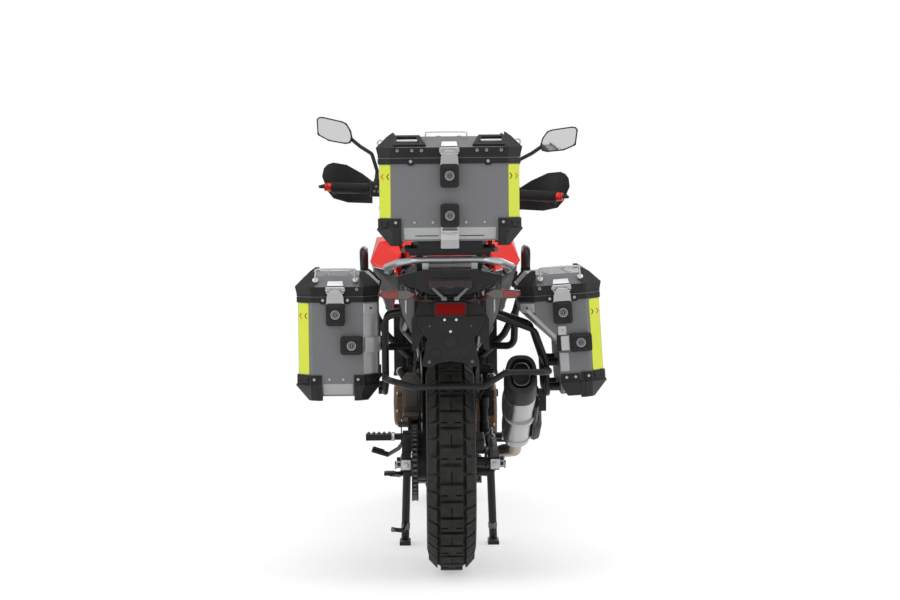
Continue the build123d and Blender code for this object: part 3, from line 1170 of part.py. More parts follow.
def mirrors():
    """Bevelled mirror heads on cranked stalks."""
    y = GRIP_Y + 22
    head = slab_y(MIRROR_OUTLINE, y, y + 20)
    front = head.faces().sort_by(Axis.Y)[-1]
    head = chamfer(front.edges(), 8)
    stalk = rod([Vector(238, GRIP_Y + 34, GRIP_Z + 25 + FIT), Vector(238, GRIP_Y + 34, 1206),
                 Vector(258, GRIP_Y + 28, 1264),
                 Vector(300, GRIP_Y + 30, 1288), Vector(340, GRIP_Y + 34, 1318)], 6.5, 14)
    right = head + stalk
    NODES["mirrors"] = Compound(children=[right, mirror(right, about=Plane.YZ)])


def front_fender():
    inner = FRONT_TYRE_RADIUS + 14
    outline = [(-66, inner - 30), (-64, inner - 6), (-36, inner + 8), (36, inner + 8), (64, inner - 6),
               (66, inner - 30), (62, inner - 30), (60, inner - 8), (34, inner + 4), (-34, inner + 4),
               (-60, inner - 8), (-62, inner - 30)]
    ring = wheel_revolve(outline, FRONT_AXLE)
    y, z = FRONT_AXLE.Y, FRONT_AXLE.Z
    keep = slab_x([(y, z), (y - 600, z + 240), (y - 600, z + 600), (y + 400, z + 600),
                   (y + 400, z + 330)], -200, 200)
    guard = ring & keep
    tab = box_between((60, y - 160, z + 270), (FORK_SPREAD - FORK_SLIDER_RADIUS - FIT, y - 100, z + 300))
    NODES["front_fender"] = guard + both(tab)


def calipers():
    pieces = []
    for side in (-1, 1):
        caliper = Pos(side * (FRONT_DISC_X + 5), FRONT_AXLE.Y - 118,
                      FRONT_AXLE.Z + 43) * Rot(-20, 0, 0) * Box(42, 52, 84)
        inner, outer = FRONT_DISC_X + 12, FORK_SPREAD - 8
        caliper += box_between((min(side * inner, side * outer), FRONT_AXLE.Y - 112, FRONT_AXLE.Z + 44),
                               (max(side * inner, side * outer), FRONT_AXLE.Y - 30, FRONT_AXLE.Z + 68))
        caliper = caliper - fork_leg(side * FORK_SPREAD, FIT)
        middle = side * FRONT_DISC_X
        slot = cylinder_x(middle - 6, middle + 6, FRONT_AXLE.Y, FRONT_AXLE.Z, FRONT_DISC_RADIUS + 6)
        pieces.append(caliper - slot)
    NODES["front_calipers"] = Compound(children=pieces)


# ================================================================= stands and footrests
def centre_stand():
    """Two legs on a cross tube, with curved feet and a tread arm on the left."""
    tube = cylinder_x(-STAND_LEG_X - 8, STAND_LEG_X + 8, STAND_PIVOT_Y, STAND_PIVOT_Z, STAND_TUBE_RADIUS)
    leg = rod([Vector(STAND_LEG_X, STAND_PIVOT_Y, STAND_PIVOT_Z), Vector(STAND_FOOT_X, STAND_FOOT_Y, 14)], 13)
    foot = box_between((STAND_FOOT_X - 18, STAND_FOOT_Y - 44, 0), (STAND_FOOT_X + 18, STAND_FOOT_Y + 36, 12))
    tread = rod([Vector(-STAND_FOOT_X + 4, STAND_FOOT_Y - 16, 70),
                 Vector(-STAND_FOOT_X - 6, STAND_FOOT_Y - 84, 56),
                 Vector(-STAND_FOOT_X - 38, STAND_FOOT_Y - 98, 62)], 7, 20)
    NODES["centre_stand"] = tube.fuse(leg, foot, mirror(leg, about=Plane.YZ),
                                      mirror(foot, about=Plane.YZ), tread)


def side_stand():
    """Folded side stand along the left side."""
    pivot, inwards = SIDE_STAND_PIVOT, SIDE_STAND_AXIS
    eye = rod([pivot - inwards * 10, pivot + inwards * 10], 19)
    leg = rod([pivot + Vector(0, -16, 0), pivot + Vector(-20, -110, 2), pivot + Vector(-46, -176, 14)],
              9.5, 50)
    foot = Pos(*(pivot + Vector(-50, -184, 16))) * Box(36, 44, 10)
    bore = rod([pivot - inwards * 40, pivot + inwards * 40], SIDE_STAND_PIN_RADIUS + RUNNING)
    NODES["side_stand"] = eye.fuse(leg, foot) - bore


TOES = {
    # side: x of the lever's end, its height, the tip's height
    -1: (200, 266, 284),
    1: (140, 314, 314),
}


def footrests():
    """Hanger plates outside the chain with the rider's pegs, the gear lever and the brake pedal."""
    pieces = []
    face = PLATE_X + PLATE_THICKNESS
    plate_x = -CHAIN_X + CHAIN_WIDTH / 2 + 6
    peg_y, peg_z = PIVOT_Y - 20, PIVOT_Z - 4
    for side in (-1, 1):
        def span(low, high):
            return sorted((side * low, side * high))
        plate = slab_x([(peg_y - 22, peg_z - 24), (peg_y - 16, peg_z + 60), (peg_y + 8, peg_z + 150),
                        (peg_y + 50, peg_z + 150),
                        (peg_y + 40, peg_z + 40), (peg_y + 24, peg_z - 24)], *span(plate_x, plate_x + 8))
        spacer = cylinder_x(*span(face + FIT, plate_x + 1), peg_y + 28, peg_z + 132, 12)
        hanger = cylinder_x(*span(plate_x + 7, 190), peg_y, peg_z, 11)
        peg = Pos(side * 228, peg_y, peg_z) * Box(84, 46, 20)
        toe_x, toe_z, tip_z = TOES[side]
        lever = rod([Vector(side * (plate_x + 14), peg_y + 20, peg_z - 8),
                     Vector(side * (toe_x * 0.4 + plate_x * 0.6 + 10), peg_y + 90, peg_z - 50),
                     Vector(side * toe_x, peg_y + 168, toe_z)], 7, 20)
        toe = rod([Vector(side * (toe_x - 2), peg_y + 164, toe_z),
                   Vector(side * (toe_x + 54), peg_y + 160, tip_z)], 9)
        pieces.append(plate.fuse(spacer, hanger, peg, lever, toe))
    NODES["footrests"] = Compound(children=pieces)


# ================================================================= assembly
FRONT_END = ("fork", "handlebar", "handguards", "mirrors", "front_fender", "front_calipers",
             "front_tyre", "front_rim", "front_hub")


def main():
    swingarm()
    shock()
    chain()
    frame()
    engine()
    radiator()
    exhaust()
    silencer()
    fuel_tank()
    seat()
    side_fairings()
    nose()
    screen()
    dash()
    bash_plate()
    crash_bars()
    tail()
    plate_holder()
    hugger()
    rear_carrier()
    top_case()
    side_case("left", LEFT_CASE_PLACE, notch=False)
    side_case("right", RIGHT_CASE_PLACE, notch=True)
    pannier_racks()
    fork()
    handlebar()
    handguards()
    mirrors()
    front_fender()
    calipers()
    centre_stand()
    side_stand()
    footrests()
    rear_wheel()
    front_wheel()
    os.makedirs("parts", exist_ok=True)
    for name, shape in NODES.items():
        if name in FRONT_END:
            shape = shape.rotate(STEER_AXIS, STEER_REST)
        export_step(Pos(0, -ORIGIN_Y, 0) * shape, f"parts/{name}.step")


main()
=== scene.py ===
import json
from math import acos, atan2, copysign, cos, exp, pi, radians, sin, sqrt, tan
import bmesh
import bpy
from mathutils import Matrix, Vector

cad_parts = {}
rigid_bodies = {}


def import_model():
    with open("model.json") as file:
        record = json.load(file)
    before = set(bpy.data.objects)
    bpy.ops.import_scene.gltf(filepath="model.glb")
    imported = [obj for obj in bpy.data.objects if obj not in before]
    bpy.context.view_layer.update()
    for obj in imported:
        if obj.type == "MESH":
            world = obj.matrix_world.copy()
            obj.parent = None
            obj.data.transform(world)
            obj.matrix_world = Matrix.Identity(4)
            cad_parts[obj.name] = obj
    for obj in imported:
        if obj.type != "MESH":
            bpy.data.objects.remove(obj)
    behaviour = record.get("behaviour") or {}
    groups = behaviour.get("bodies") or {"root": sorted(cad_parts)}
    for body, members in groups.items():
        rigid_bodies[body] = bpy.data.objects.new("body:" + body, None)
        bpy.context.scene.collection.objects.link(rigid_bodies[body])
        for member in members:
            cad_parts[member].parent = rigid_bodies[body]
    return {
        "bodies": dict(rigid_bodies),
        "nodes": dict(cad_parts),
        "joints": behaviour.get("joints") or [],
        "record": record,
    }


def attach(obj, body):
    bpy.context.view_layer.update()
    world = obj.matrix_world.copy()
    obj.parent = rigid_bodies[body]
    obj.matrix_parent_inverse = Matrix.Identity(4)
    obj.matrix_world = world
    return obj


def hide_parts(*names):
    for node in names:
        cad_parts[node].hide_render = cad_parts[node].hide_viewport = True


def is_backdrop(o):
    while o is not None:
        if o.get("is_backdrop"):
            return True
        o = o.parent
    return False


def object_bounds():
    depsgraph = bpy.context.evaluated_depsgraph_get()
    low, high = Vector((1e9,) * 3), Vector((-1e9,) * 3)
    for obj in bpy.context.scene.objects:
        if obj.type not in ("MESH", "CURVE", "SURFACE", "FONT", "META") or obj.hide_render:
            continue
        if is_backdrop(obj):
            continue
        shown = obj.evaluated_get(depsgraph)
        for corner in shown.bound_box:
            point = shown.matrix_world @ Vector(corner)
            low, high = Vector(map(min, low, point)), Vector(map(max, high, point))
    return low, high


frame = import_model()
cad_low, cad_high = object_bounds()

# Millimetres in the tables; y is counted from the rear axle, as in the part's source.
ORIGIN_Y = 692.0
NODES = frame["nodes"]


def at(x, y, z):
    return Vector((x, y - ORIGIN_Y, z)) / 1000


# ---- camera
FOCAL_PX, PICTURE_PX, SENSOR_MM = 2311.0, 900, 36.0
CAMERA_X, CAMERA_Y, CAMERA_Z = -82.0, -7000.0, 1236.0
PITCH, YAW, ROLL = 3.35, 0.70, 0.54

camera = bpy.data.objects.new("camera", bpy.data.cameras.new("camera"))
bpy.context.scene.collection.objects.link(camera)
camera.data.sensor_width = SENSOR_MM
camera.data.lens = FOCAL_PX / PICTURE_PX * SENSOR_MM
camera.data.clip_end = 100
turn = (Matrix.Rotation(radians(-YAW), 4, "Z") @ Matrix.Rotation(radians(90 - PITCH), 4,
        "X") @ Matrix.Rotation(radians(-ROLL), 4, "Z"))
camera.matrix_world = Matrix.Translation(at(CAMERA_X, CAMERA_Y, CAMERA_Z)) @ turn
bpy.context.scene.camera = camera

view = bpy.context.scene.view_settings
view.view_transform = "Standard"

# ---- world, lights, floor
AMBIENT = 0.62
world = bpy.data.worlds.new("studio")
bpy.context.scene.world = world
world.use_nodes = True


def node_maker(tree):
    """Two helpers for a node tree: one adds a node with its inputs set or linked, one mixes two shaders."""
    def add(kind, values=None, **settings):
        node = tree.nodes.new("ShaderNode" + kind)
        for key, value in settings.items():
            setattr(node, key, value)
        for key, value in (values or {}).items():
            if isinstance(value, bpy.types.NodeSocket):
                tree.links.new(value, node.inputs[key])
            else:
                node.inputs[key].default_value = value
        return node

    def mixed(factor, first, second):
        return add("MixShader", {0: factor, 1: first, 2: second}).outputs[0]
    return add, mixed


WHITE = (1, 1, 1, 1)
world.node_tree.nodes.clear()
add, mixed = node_maker(world.node_tree)
paths = add("LightPath").outputs
seen = add("Math", {0: paths["Is Camera Ray"], 1: paths["Is Transmission Ray"]}, operation="MAXIMUM")
soft = add("Background", {"Color": WHITE, "Strength": AMBIENT})
plain = add("Background", {"Color": WHITE, "Strength": 1.0})
add("OutputWorld", {"Surface": mixed(seen.outputs[0], soft.outputs[0], plain.outputs[0])})


def area_light(name, place, aim, size, power):
    data = bpy.data.lights.new(name, "AREA")
    data.shape = "RECTANGLE"
    data.size, data.size_y = size
    data.energy = power
    light = bpy.data.objects.new(name, data)
    bpy.context.scene.collection.objects.link(light)
    facing_aim = (Vector(aim) - Vector(place)).to_track_quat("-Z", "Y").to_matrix().to_4x4()
    light.matrix_world = Matrix.Translation(Vector(place)) @ facing_aim


area_light("softbox_top", (0.0, -0.6, 4.6), (0, 0, 0.6), (4.5, 5.0), 105)
area_light("softbox_left", (-4.2, -3.4, 2.6), (0, -0.4, 0.7), (2.6, 3.2), 62)
area_light("softbox_right", (4.2, -2.6, 2.2), (0, -0.3, 0.7), (2.2, 3.0), 44)
area_light("softbox_front", (1.5, 5.0, 3.0), (0, 0.4, 0.8), (3.0, 3.0), 60)


# ---- materials
DUST_COLOUR = (0.34, 0.31, 0.27, 1)


def shader(name, colour, rough, metal=0.0, spread=0.10, grain=900.0, bump=0.12, patch=9.0, rough_spread=0.12,
           brushed=None, coat=0.0, dust=0.0, transmission=0.0, edge_wear_and_highlight=0.0,
           edge_wear_and_highlight_colour=(0.5, 0.5, 0.5), specular=0.5):
    """A procedural finish: colour drifts in patches, roughness varies, and a fine grain bumps the surface."""
    made = bpy.data.materials.new(name)
    made.use_nodes = True
    add, _ = node_maker(made.node_tree)
    place = add("TexCoord").outputs["Object"]

    def noise(scale, detail, stretch=None):
        where = add("Mapping", {"Vector": place, "Scale": stretch}).outputs["Vector"] if stretch else place
        return add("TexNoise", {"Scale": scale, "Detail": detail, "Vector": where}).outputs["Fac"]

    def spread_of(value, low, high, start=0.3, stop=0.7):
        return add("MapRange", {"From Min": start, "From Max": stop, "To Min": low, "To Max": high,
                                "Value": value}).outputs["Result"]

    def tinted(factor, first, second):
        mix = add("Mix", {"A": first, "B": second, "Factor": factor}, data_type="RGBA")
        return mix.outputs["Result"]

    finish = tinted(noise(patch, 4.0), (*[c * (1 - spread) for c in colour], 1),
                    (*[min(1.0, c * (1 + spread)) for c in colour], 1))
    if dust:
        finish = tinted(spread_of(noise(34.0, 8.0), 0.0, dust), finish, DUST_COLOUR)
    # edges tinted lighter than the face: partly wear, partly a painted highlight where rounded edges would
    # catch the light
    if edge_wear_and_highlight:
        rounded_off = add("Bevel", {"Radius": 0.0016}, samples=4).outputs["Normal"]
        straight = add("NewGeometry").outputs["Normal"]
        dot = add("VectorMath", {0: rounded_off, 1: straight}, operation="DOT_PRODUCT").outputs["Value"]
        finish = tinted(spread_of(dot, 0.0, edge_wear_and_highlight, 0.99, 0.86), finish, (*edge_wear_and_highlight_colour, 1))
    gloss = noise(patch * 3.1, 5.0, brushed)
    surface = add("Bump", {"Strength": bump, "Distance": 0.0005, "Height": noise(grain, 3.0, brushed)})
    bsdf = made.node_tree.nodes["Principled BSDF"]
    for key, value in {"Metallic": metal, "IOR": 1.5, "Coat Weight": coat, "Coat Roughness": 0.08,
                       "Specular IOR Level": specular, "Transmission Weight": transmission}.items():
        bsdf.inputs[key].default_value = value
    for key, value in {"Base Color": finish, "Normal": surface.outputs["Normal"],
                       "Roughness": spread_of(gloss, max(0.02, rough - rough_spread / 2),
                                              min(1.0, rough + rough_spread / 2))}.items():
        made.node_tree.links.new(value, bsdf.inputs[key])
    made.diffuse_color = (*colour, 1)
    return made


FINISHES = {
    "frame_black": dict(colour=(0.010, 0.010, 0.011), rough=0.34, spread=0.25, grain=700, bump=0.10,
                        dust=0.02, edge_wear_and_highlight=0.3, edge_wear_and_highlight_colour=(0.08, 0.08, 0.08), specular=0.3),
    "plastic_black": dict(colour=(0.012, 0.012, 0.0135), rough=0.44, spread=0.22, grain=1500, bump=0.22,
                          dust=0.02, edge_wear_and_highlight=0.4, edge_wear_and_highlight_colour=(0.06, 0.06, 0.065), specular=0.25),
    "engine_grey": dict(colour=(0.055, 0.055, 0.058), rough=0.5, metal=0.35, spread=0.25, grain=420,
                        bump=0.30, dust=0.06, edge_wear_and_highlight=0.3, edge_wear_and_highlight_colour=(0.22, 0.22, 0.22), specular=0.3),
    "cover_bronze": dict(colour=(0.13, 0.075, 0.035), rough=0.42, metal=0.5, spread=0.2, grain=600,
                         bump=0.18, dust=0.05, specular=0.3),
    "radiator_black": dict(colour=(0.016, 0.016, 0.016), rough=0.55, spread=0.3, grain=300, bump=0.5,
                           brushed=(1, 1, 12), dust=0.06, specular=0.2),
    "pipe_steel": dict(colour=(0.36, 0.31, 0.25), rough=0.30, metal=1.0, spread=0.25, grain=300, bump=0.12,
                       patch=6),
    "silencer_steel": dict(colour=(0.46, 0.46, 0.47), rough=0.32, metal=1.0, spread=0.05, grain=700,
                           bump=0.04, patch=4, rough_spread=0.06),
    "swingarm_grey": dict(colour=(0.020, 0.020, 0.022), rough=0.42, metal=0.3, spread=0.2, grain=600,
                          bump=0.2, dust=0.04, edge_wear_and_highlight=0.4, edge_wear_and_highlight_colour=(0.18, 0.18, 0.18), specular=0.3),
    "chain_steel": dict(colour=(0.060, 0.058, 0.056), rough=0.38, metal=0.8, spread=0.3, grain=500, bump=0.3,
                        patch=60),
    "tank_red": dict(colour=(0.74, 0.014, 0.012), rough=0.26, spread=0.04, grain=900, bump=0.03, coat=0.45,
                     specular=0.35),
    "panel_red": dict(colour=(0.80, 0.018, 0.012), rough=0.34, spread=0.04, grain=900, bump=0.04, coat=0.25,
                      specular=0.3),
    "seat_black": dict(colour=(0.014, 0.014, 0.016), rough=0.6, spread=0.2, grain=520, bump=0.6, dust=0.02,
                       specular=0.2),
    "lamp_clear": dict(colour=(0.93, 0.94, 0.96), rough=0.06, spread=0.02, grain=60, bump=0.02,
                       transmission=0.92, rough_spread=0.06),
    "lamp_red": dict(colour=(0.19, 0.0015, 0.0015), rough=0.3, spread=0.15, grain=260, bump=0.2, coat=0.0,
                     specular=0.1),
    "lamp_amber": dict(colour=(0.085, 0.030, 0.022), rough=0.26, spread=0.2, grain=260, bump=0.3, coat=0.3,
                       specular=0.3),
    "dash_black": dict(colour=(0.008, 0.008, 0.009), rough=0.12, spread=0.1, coat=0.5, bump=0.02,
                       specular=0.3),
    "guard_aluminium": dict(colour=(0.36, 0.36, 0.37), rough=0.40, metal=0.9, spread=0.15, grain=240,
                            bump=0.2, brushed=(1, 10, 1), dust=0.06),
    "rail_silver": dict(colour=(0.56, 0.57, 0.59), rough=0.38, metal=0.75, spread=0.10, grain=700, bump=0.16),
    "case_grey": dict(colour=(0.178, 0.180, 0.186), rough=0.46, metal=0.12, spread=0.06, grain=1300,
                      bump=0.08, patch=4, edge_wear_and_highlight=0.35, edge_wear_and_highlight_colour=(0.42, 0.42, 0.42), specular=0.3),
    "rim_black": dict(colour=(0.014, 0.014, 0.015), rough=0.3, metal=0.3, spread=0.15, grain=700, bump=0.08,
                      specular=0.4),
    "hub_black": dict(colour=(0.022, 0.022, 0.024), rough=0.4, metal=0.4, spread=0.2, grain=500, bump=0.15,
                      specular=0.4),
    "tyre_black": dict(colour=(0.012, 0.012, 0.0115), rough=0.66, spread=0.3, grain=620, bump=0.45,
                       dust=0.05, patch=26, edge_wear_and_highlight=0.25, edge_wear_and_highlight_colour=(0.045, 0.044, 0.042), specular=0.22),
    "fork_black": dict(colour=(0.016, 0.016, 0.018), rough=0.30, metal=0.3, spread=0.15, grain=400,
                       bump=0.06, specular=0.4),
    "spring_black": dict(colour=(0.02, 0.02, 0.02), rough=0.3, spread=0.2, coat=0.3, bump=0.1),
    # finishes of the pieces made here
    "gloss_black": dict(colour=(0.006, 0.006, 0.007), rough=0.16, spread=0.1, coat=0.3, bump=0.02, grain=400,
                        specular=0.4),
    "steel": dict(colour=(0.50, 0.50, 0.51), rough=0.34, metal=1.0, spread=0.12, grain=500, bump=0.12),
    "steel_bright": dict(colour=(0.74, 0.74, 0.75), rough=0.26, metal=1.0, spread=0.05, grain=700, bump=0.04),
    "steel_satin": dict(colour=(0.55, 0.55, 0.56), rough=0.42, metal=0.85, spread=0.10, grain=300, bump=0.15,
                        brushed=(1, 1, 9)),
    "steel_dark": dict(colour=(0.14, 0.135, 0.13), rough=0.38, metal=0.9, spread=0.3, grain=500, bump=0.2,
                       patch=40),
    "chrome": dict(colour=(0.82, 0.82, 0.83), rough=0.08, metal=1.0, spread=0.03, grain=300, bump=0.01),
    # painted sheen: a lighter grey for plates laid where the case catches the light
    "case_painted_sheen": dict(colour=(0.42, 0.425, 0.43), rough=0.5, metal=0.25, spread=0.06, grain=900, bump=0.10),
    "panel_grey": dict(colour=(0.15, 0.148, 0.15), rough=0.45, metal=0.3, spread=0.1, grain=900, bump=0.12),
    "panel_brown": dict(colour=(0.115, 0.098, 0.085), rough=0.45, metal=0.3, spread=0.1, grain=900,
                        bump=0.12),
    "hi_vis": dict(colour=(0.66, 0.74, 0.035), rough=0.34, spread=0.05, grain=240, bump=0.35, coat=0.3),
    "mark_black": dict(colour=(0.02, 0.02, 0.02), rough=0.4, spread=0.2),
    "mark_red": dict(colour=(0.62, 0.05, 0.02), rough=0.4, spread=0.1),
    "mark_white": dict(colour=(0.72, 0.72, 0.72), rough=0.4, spread=0.04),
    "anodised_red": dict(colour=(0.62, 0.03, 0.015), rough=0.3, metal=0.6, spread=0.08, grain=600, bump=0.06),
    "lens_dark": dict(colour=(0.22, 0.045, 0.045), rough=0.2, spread=0.15, grain=260, bump=0.3, coat=0.3,
                      specular=0.3),
    "signal_grey": dict(colour=(0.11, 0.105, 0.095), rough=0.3, spread=0.2, grain=260, bump=0.2, coat=0.3,
                        specular=0.3),
    "plate_white": dict(colour=(0.60, 0.60, 0.61), rough=0.34, metal=0.35, spread=0.06, grain=700, bump=0.06),
    # painted shade: a near-black, matt finish for strips that stand in for the shade inside slits
    "slit_painted_shade": dict(colour=(0.003, 0.003, 0.003), rough=0.9, spread=0.2, specular=0.05),
    "rubber": dict(colour=(0.011, 0.011, 0.012), rough=0.58, spread=0.25, grain=800, bump=0.35,
                   specular=0.22),
    "smoked": dict(colour=(0.010, 0.0035, 0.0035), rough=0.12, spread=0.2, grain=200, bump=0.05, coat=0.4,
                   specular=0.35),
    "mirror": dict(colour=(1.0, 1.0, 1.0), rough=0.03, metal=1.0, spread=0.01, bump=0.0, rough_spread=0.02),
    "floor": dict(colour=(0.90, 0.90, 0.90), rough=0.85, spread=0.02, grain=40, bump=0.02),
}
M = {name: shader(name, **finish) for name, finish in FINISHES.items()}

SLOT_OF = {s["node"]: s["material_slot"] for s in frame["record"]["subparts"]}
for name, node in NODES.items():
    finish = M[SLOT_OF[name]]
    if not node.data.materials:
        node.data.materials.append(finish)
    for i in range(len(node.material_slots)):
        node.material_slots[i].material = finish

# ---- floor
mesh = bpy.data.meshes.new("floor")
mesh.from_pydata([(-30, -30, 0), (30, -30, 0), (30, 60, 0), (-30, 60, 0)], [], [(0, 1, 2, 3)])
floor = bpy.data.objects.new("floor", mesh)
bpy.context.scene.collection.objects.link(floor)
floor.data.materials.append(M["floor"])
floor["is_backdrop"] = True


def whiten_floor(material, glow=0.46, shade=0.62, near=2.2, far=5.0):
    """White for the camera and for reflections, keeping the shadow that falls near the machine."""
    nodes = material.node_tree.nodes
    add, mixed = node_maker(material.node_tree)
    path = add("LightPath").outputs
    ray = path["Is Camera Ray"]
    for other in ("Is Glossy Ray", "Is Transmission Ray"):
        ray = add("Math", {0: ray, 1: path[other]}, operation="MAXIMUM").outputs[0]
    diffuse = add("BsdfDiffuse", {"Color": (shade, shade, shade, 1)}).outputs[0]
    light = add("Emission", {"Strength": glow}).outputs[0]
    added = add("AddShader", {0: diffuse, 1: light}).outputs[0]
    white = add("Emission", {"Strength": 1.0}).outputs[0]
    away = add("VectorMath", {0: add("NewGeometry").outputs["Position"]}, operation="LENGTH").outputs["Value"]
    fade = add("MapRange", {"From Min": near, "From Max": far, "Value": away},
               interpolation_type="SMOOTHSTEP")
    whole = mixed(ray, nodes["Principled BSDF"].outputs[0], mixed(fade.outputs["Result"], added, white))
    out = next(n for n in nodes if n.type == "OUTPUT_MATERIAL")
    material.node_tree.links.new(whole, out.inputs["Surface"])


whiten_floor(M["floor"])

# ---- frames for the pieces
WHEELBASE, TRAIL, STEER_AT_REST, RIGHT_TILT = 1515.0, 105.0, -6.5, -3.3
HEAD_Z, RAKE = 925.0, radians(26.0)
HEAD = Vector((0, WHEELBASE + TRAIL - HEAD_Z * tan(RAKE), HEAD_Z))
AXIS_UP = Vector((0, -sin(RAKE), cos(RAKE)))
AXIS_AHEAD = Vector((0, cos(RAKE), sin(RAKE)))
PIVOT_Y, PIVOT_Z = 575.0, 350.0
BACK, UP = (0, -1, 0), (0, 0, 1)
REAR_AXLE = Vector((0, 0, 332.0))
FRONT_AXLE = Vector((0, WHEELBASE, 329.0))


def shift(x, y, z):
    return Matrix.Translation(Vector((x, y, z)) / 1000)


BASE = shift(0, -ORIGIN_Y, 0)
STEERED = BASE @ shift(*HEAD) @ Matrix.Rotation(radians(STEER_AT_REST), 4, AXIS_UP) @ shift(*-HEAD)
TOP = BASE @ shift(0, -240, 0)
LEFT = BASE @ shift(-333, 30, 0)
RIGHT = BASE @ shift(327, 30, 849) @ Matrix.Rotation(radians(RIGHT_TILT), 4, "Y") @ shift(0, 0, -849)


def facing(frame, origin, inward):
    """A frame on a wall: x along it, y into it, z up."""
    y = Vector((*inward, 0)).normalized()
    x = y.cross(Vector(UP))
    turn = Matrix(((x.x, y.x, 0, 0), (x.y, y.y, 0, 0), (0, 0, 1, 0), (0, 0, 0, 1)))
    return frame @ shift(*origin) @ turn


# ---- mesh helpers, in millimetres
def rounded(outline, radius, steps=4):
    """An outline with each corner turned into a short curve."""
    points = []
    count = len(outline)
    for i, p in enumerate(outline):
        a, b = Vector(outline[i - 1]), Vector(outline[(i + 1) % count])
        p = Vector(p)
        ta = (a - p).normalized() * min(radius, (a - p).length * 0.45)
        tb = (b - p).normalized() * min(radius, (b - p).length * 0.45)
        for k in range(steps + 1):
            t = k / steps
            q = (p + ta) * (1 - t) ** 2 + p * 2 * t * (1 - t) + (p + tb) * t ** 2
            points.append((q.x, q.y))
    return points


def around(count):
    return [2 * pi * k / count for k in range(count)]


def rect(x0, z0, x1, z1):
    return [(x0, z0), (x1, z0), (x1, z1), (x0, z1)]


def soft_rect(x0, z0, x1, z1, radius, steps=4):
    return rounded(rect(x0, z0, x1, z1), radius, steps)


def shrunk(outline, step):
    """An outline moved inwards by a step."""
    count = len(outline)
    area = sum(outline[i][0] * outline[(i + 1) % count][1] - outline[(i + 1) % count][0] * outline[i][1]
               for i in range(count))
    sign = 1 if area > 0 else -1
    out = []
    for i in range(count):
        p, a, b = Vector(outline[i]), Vector(outline[i - 1]), Vector(outline[(i + 1) % count])
        d0, d1 = (p - a).normalized(), (b - p).normalized()
        n0, n1 = Vector((-d0.y, d0.x)) * sign, Vector((-d1.y, d1.x)) * sign
        bisect = n0 + n1
        if bisect.length < 1e-6:
            bisect = n0
        bisect.normalize()
        reach = step / max(0.35, bisect.dot(n0))
        q = p + bisect * reach
        out.append((q.x, q.y))
    return out


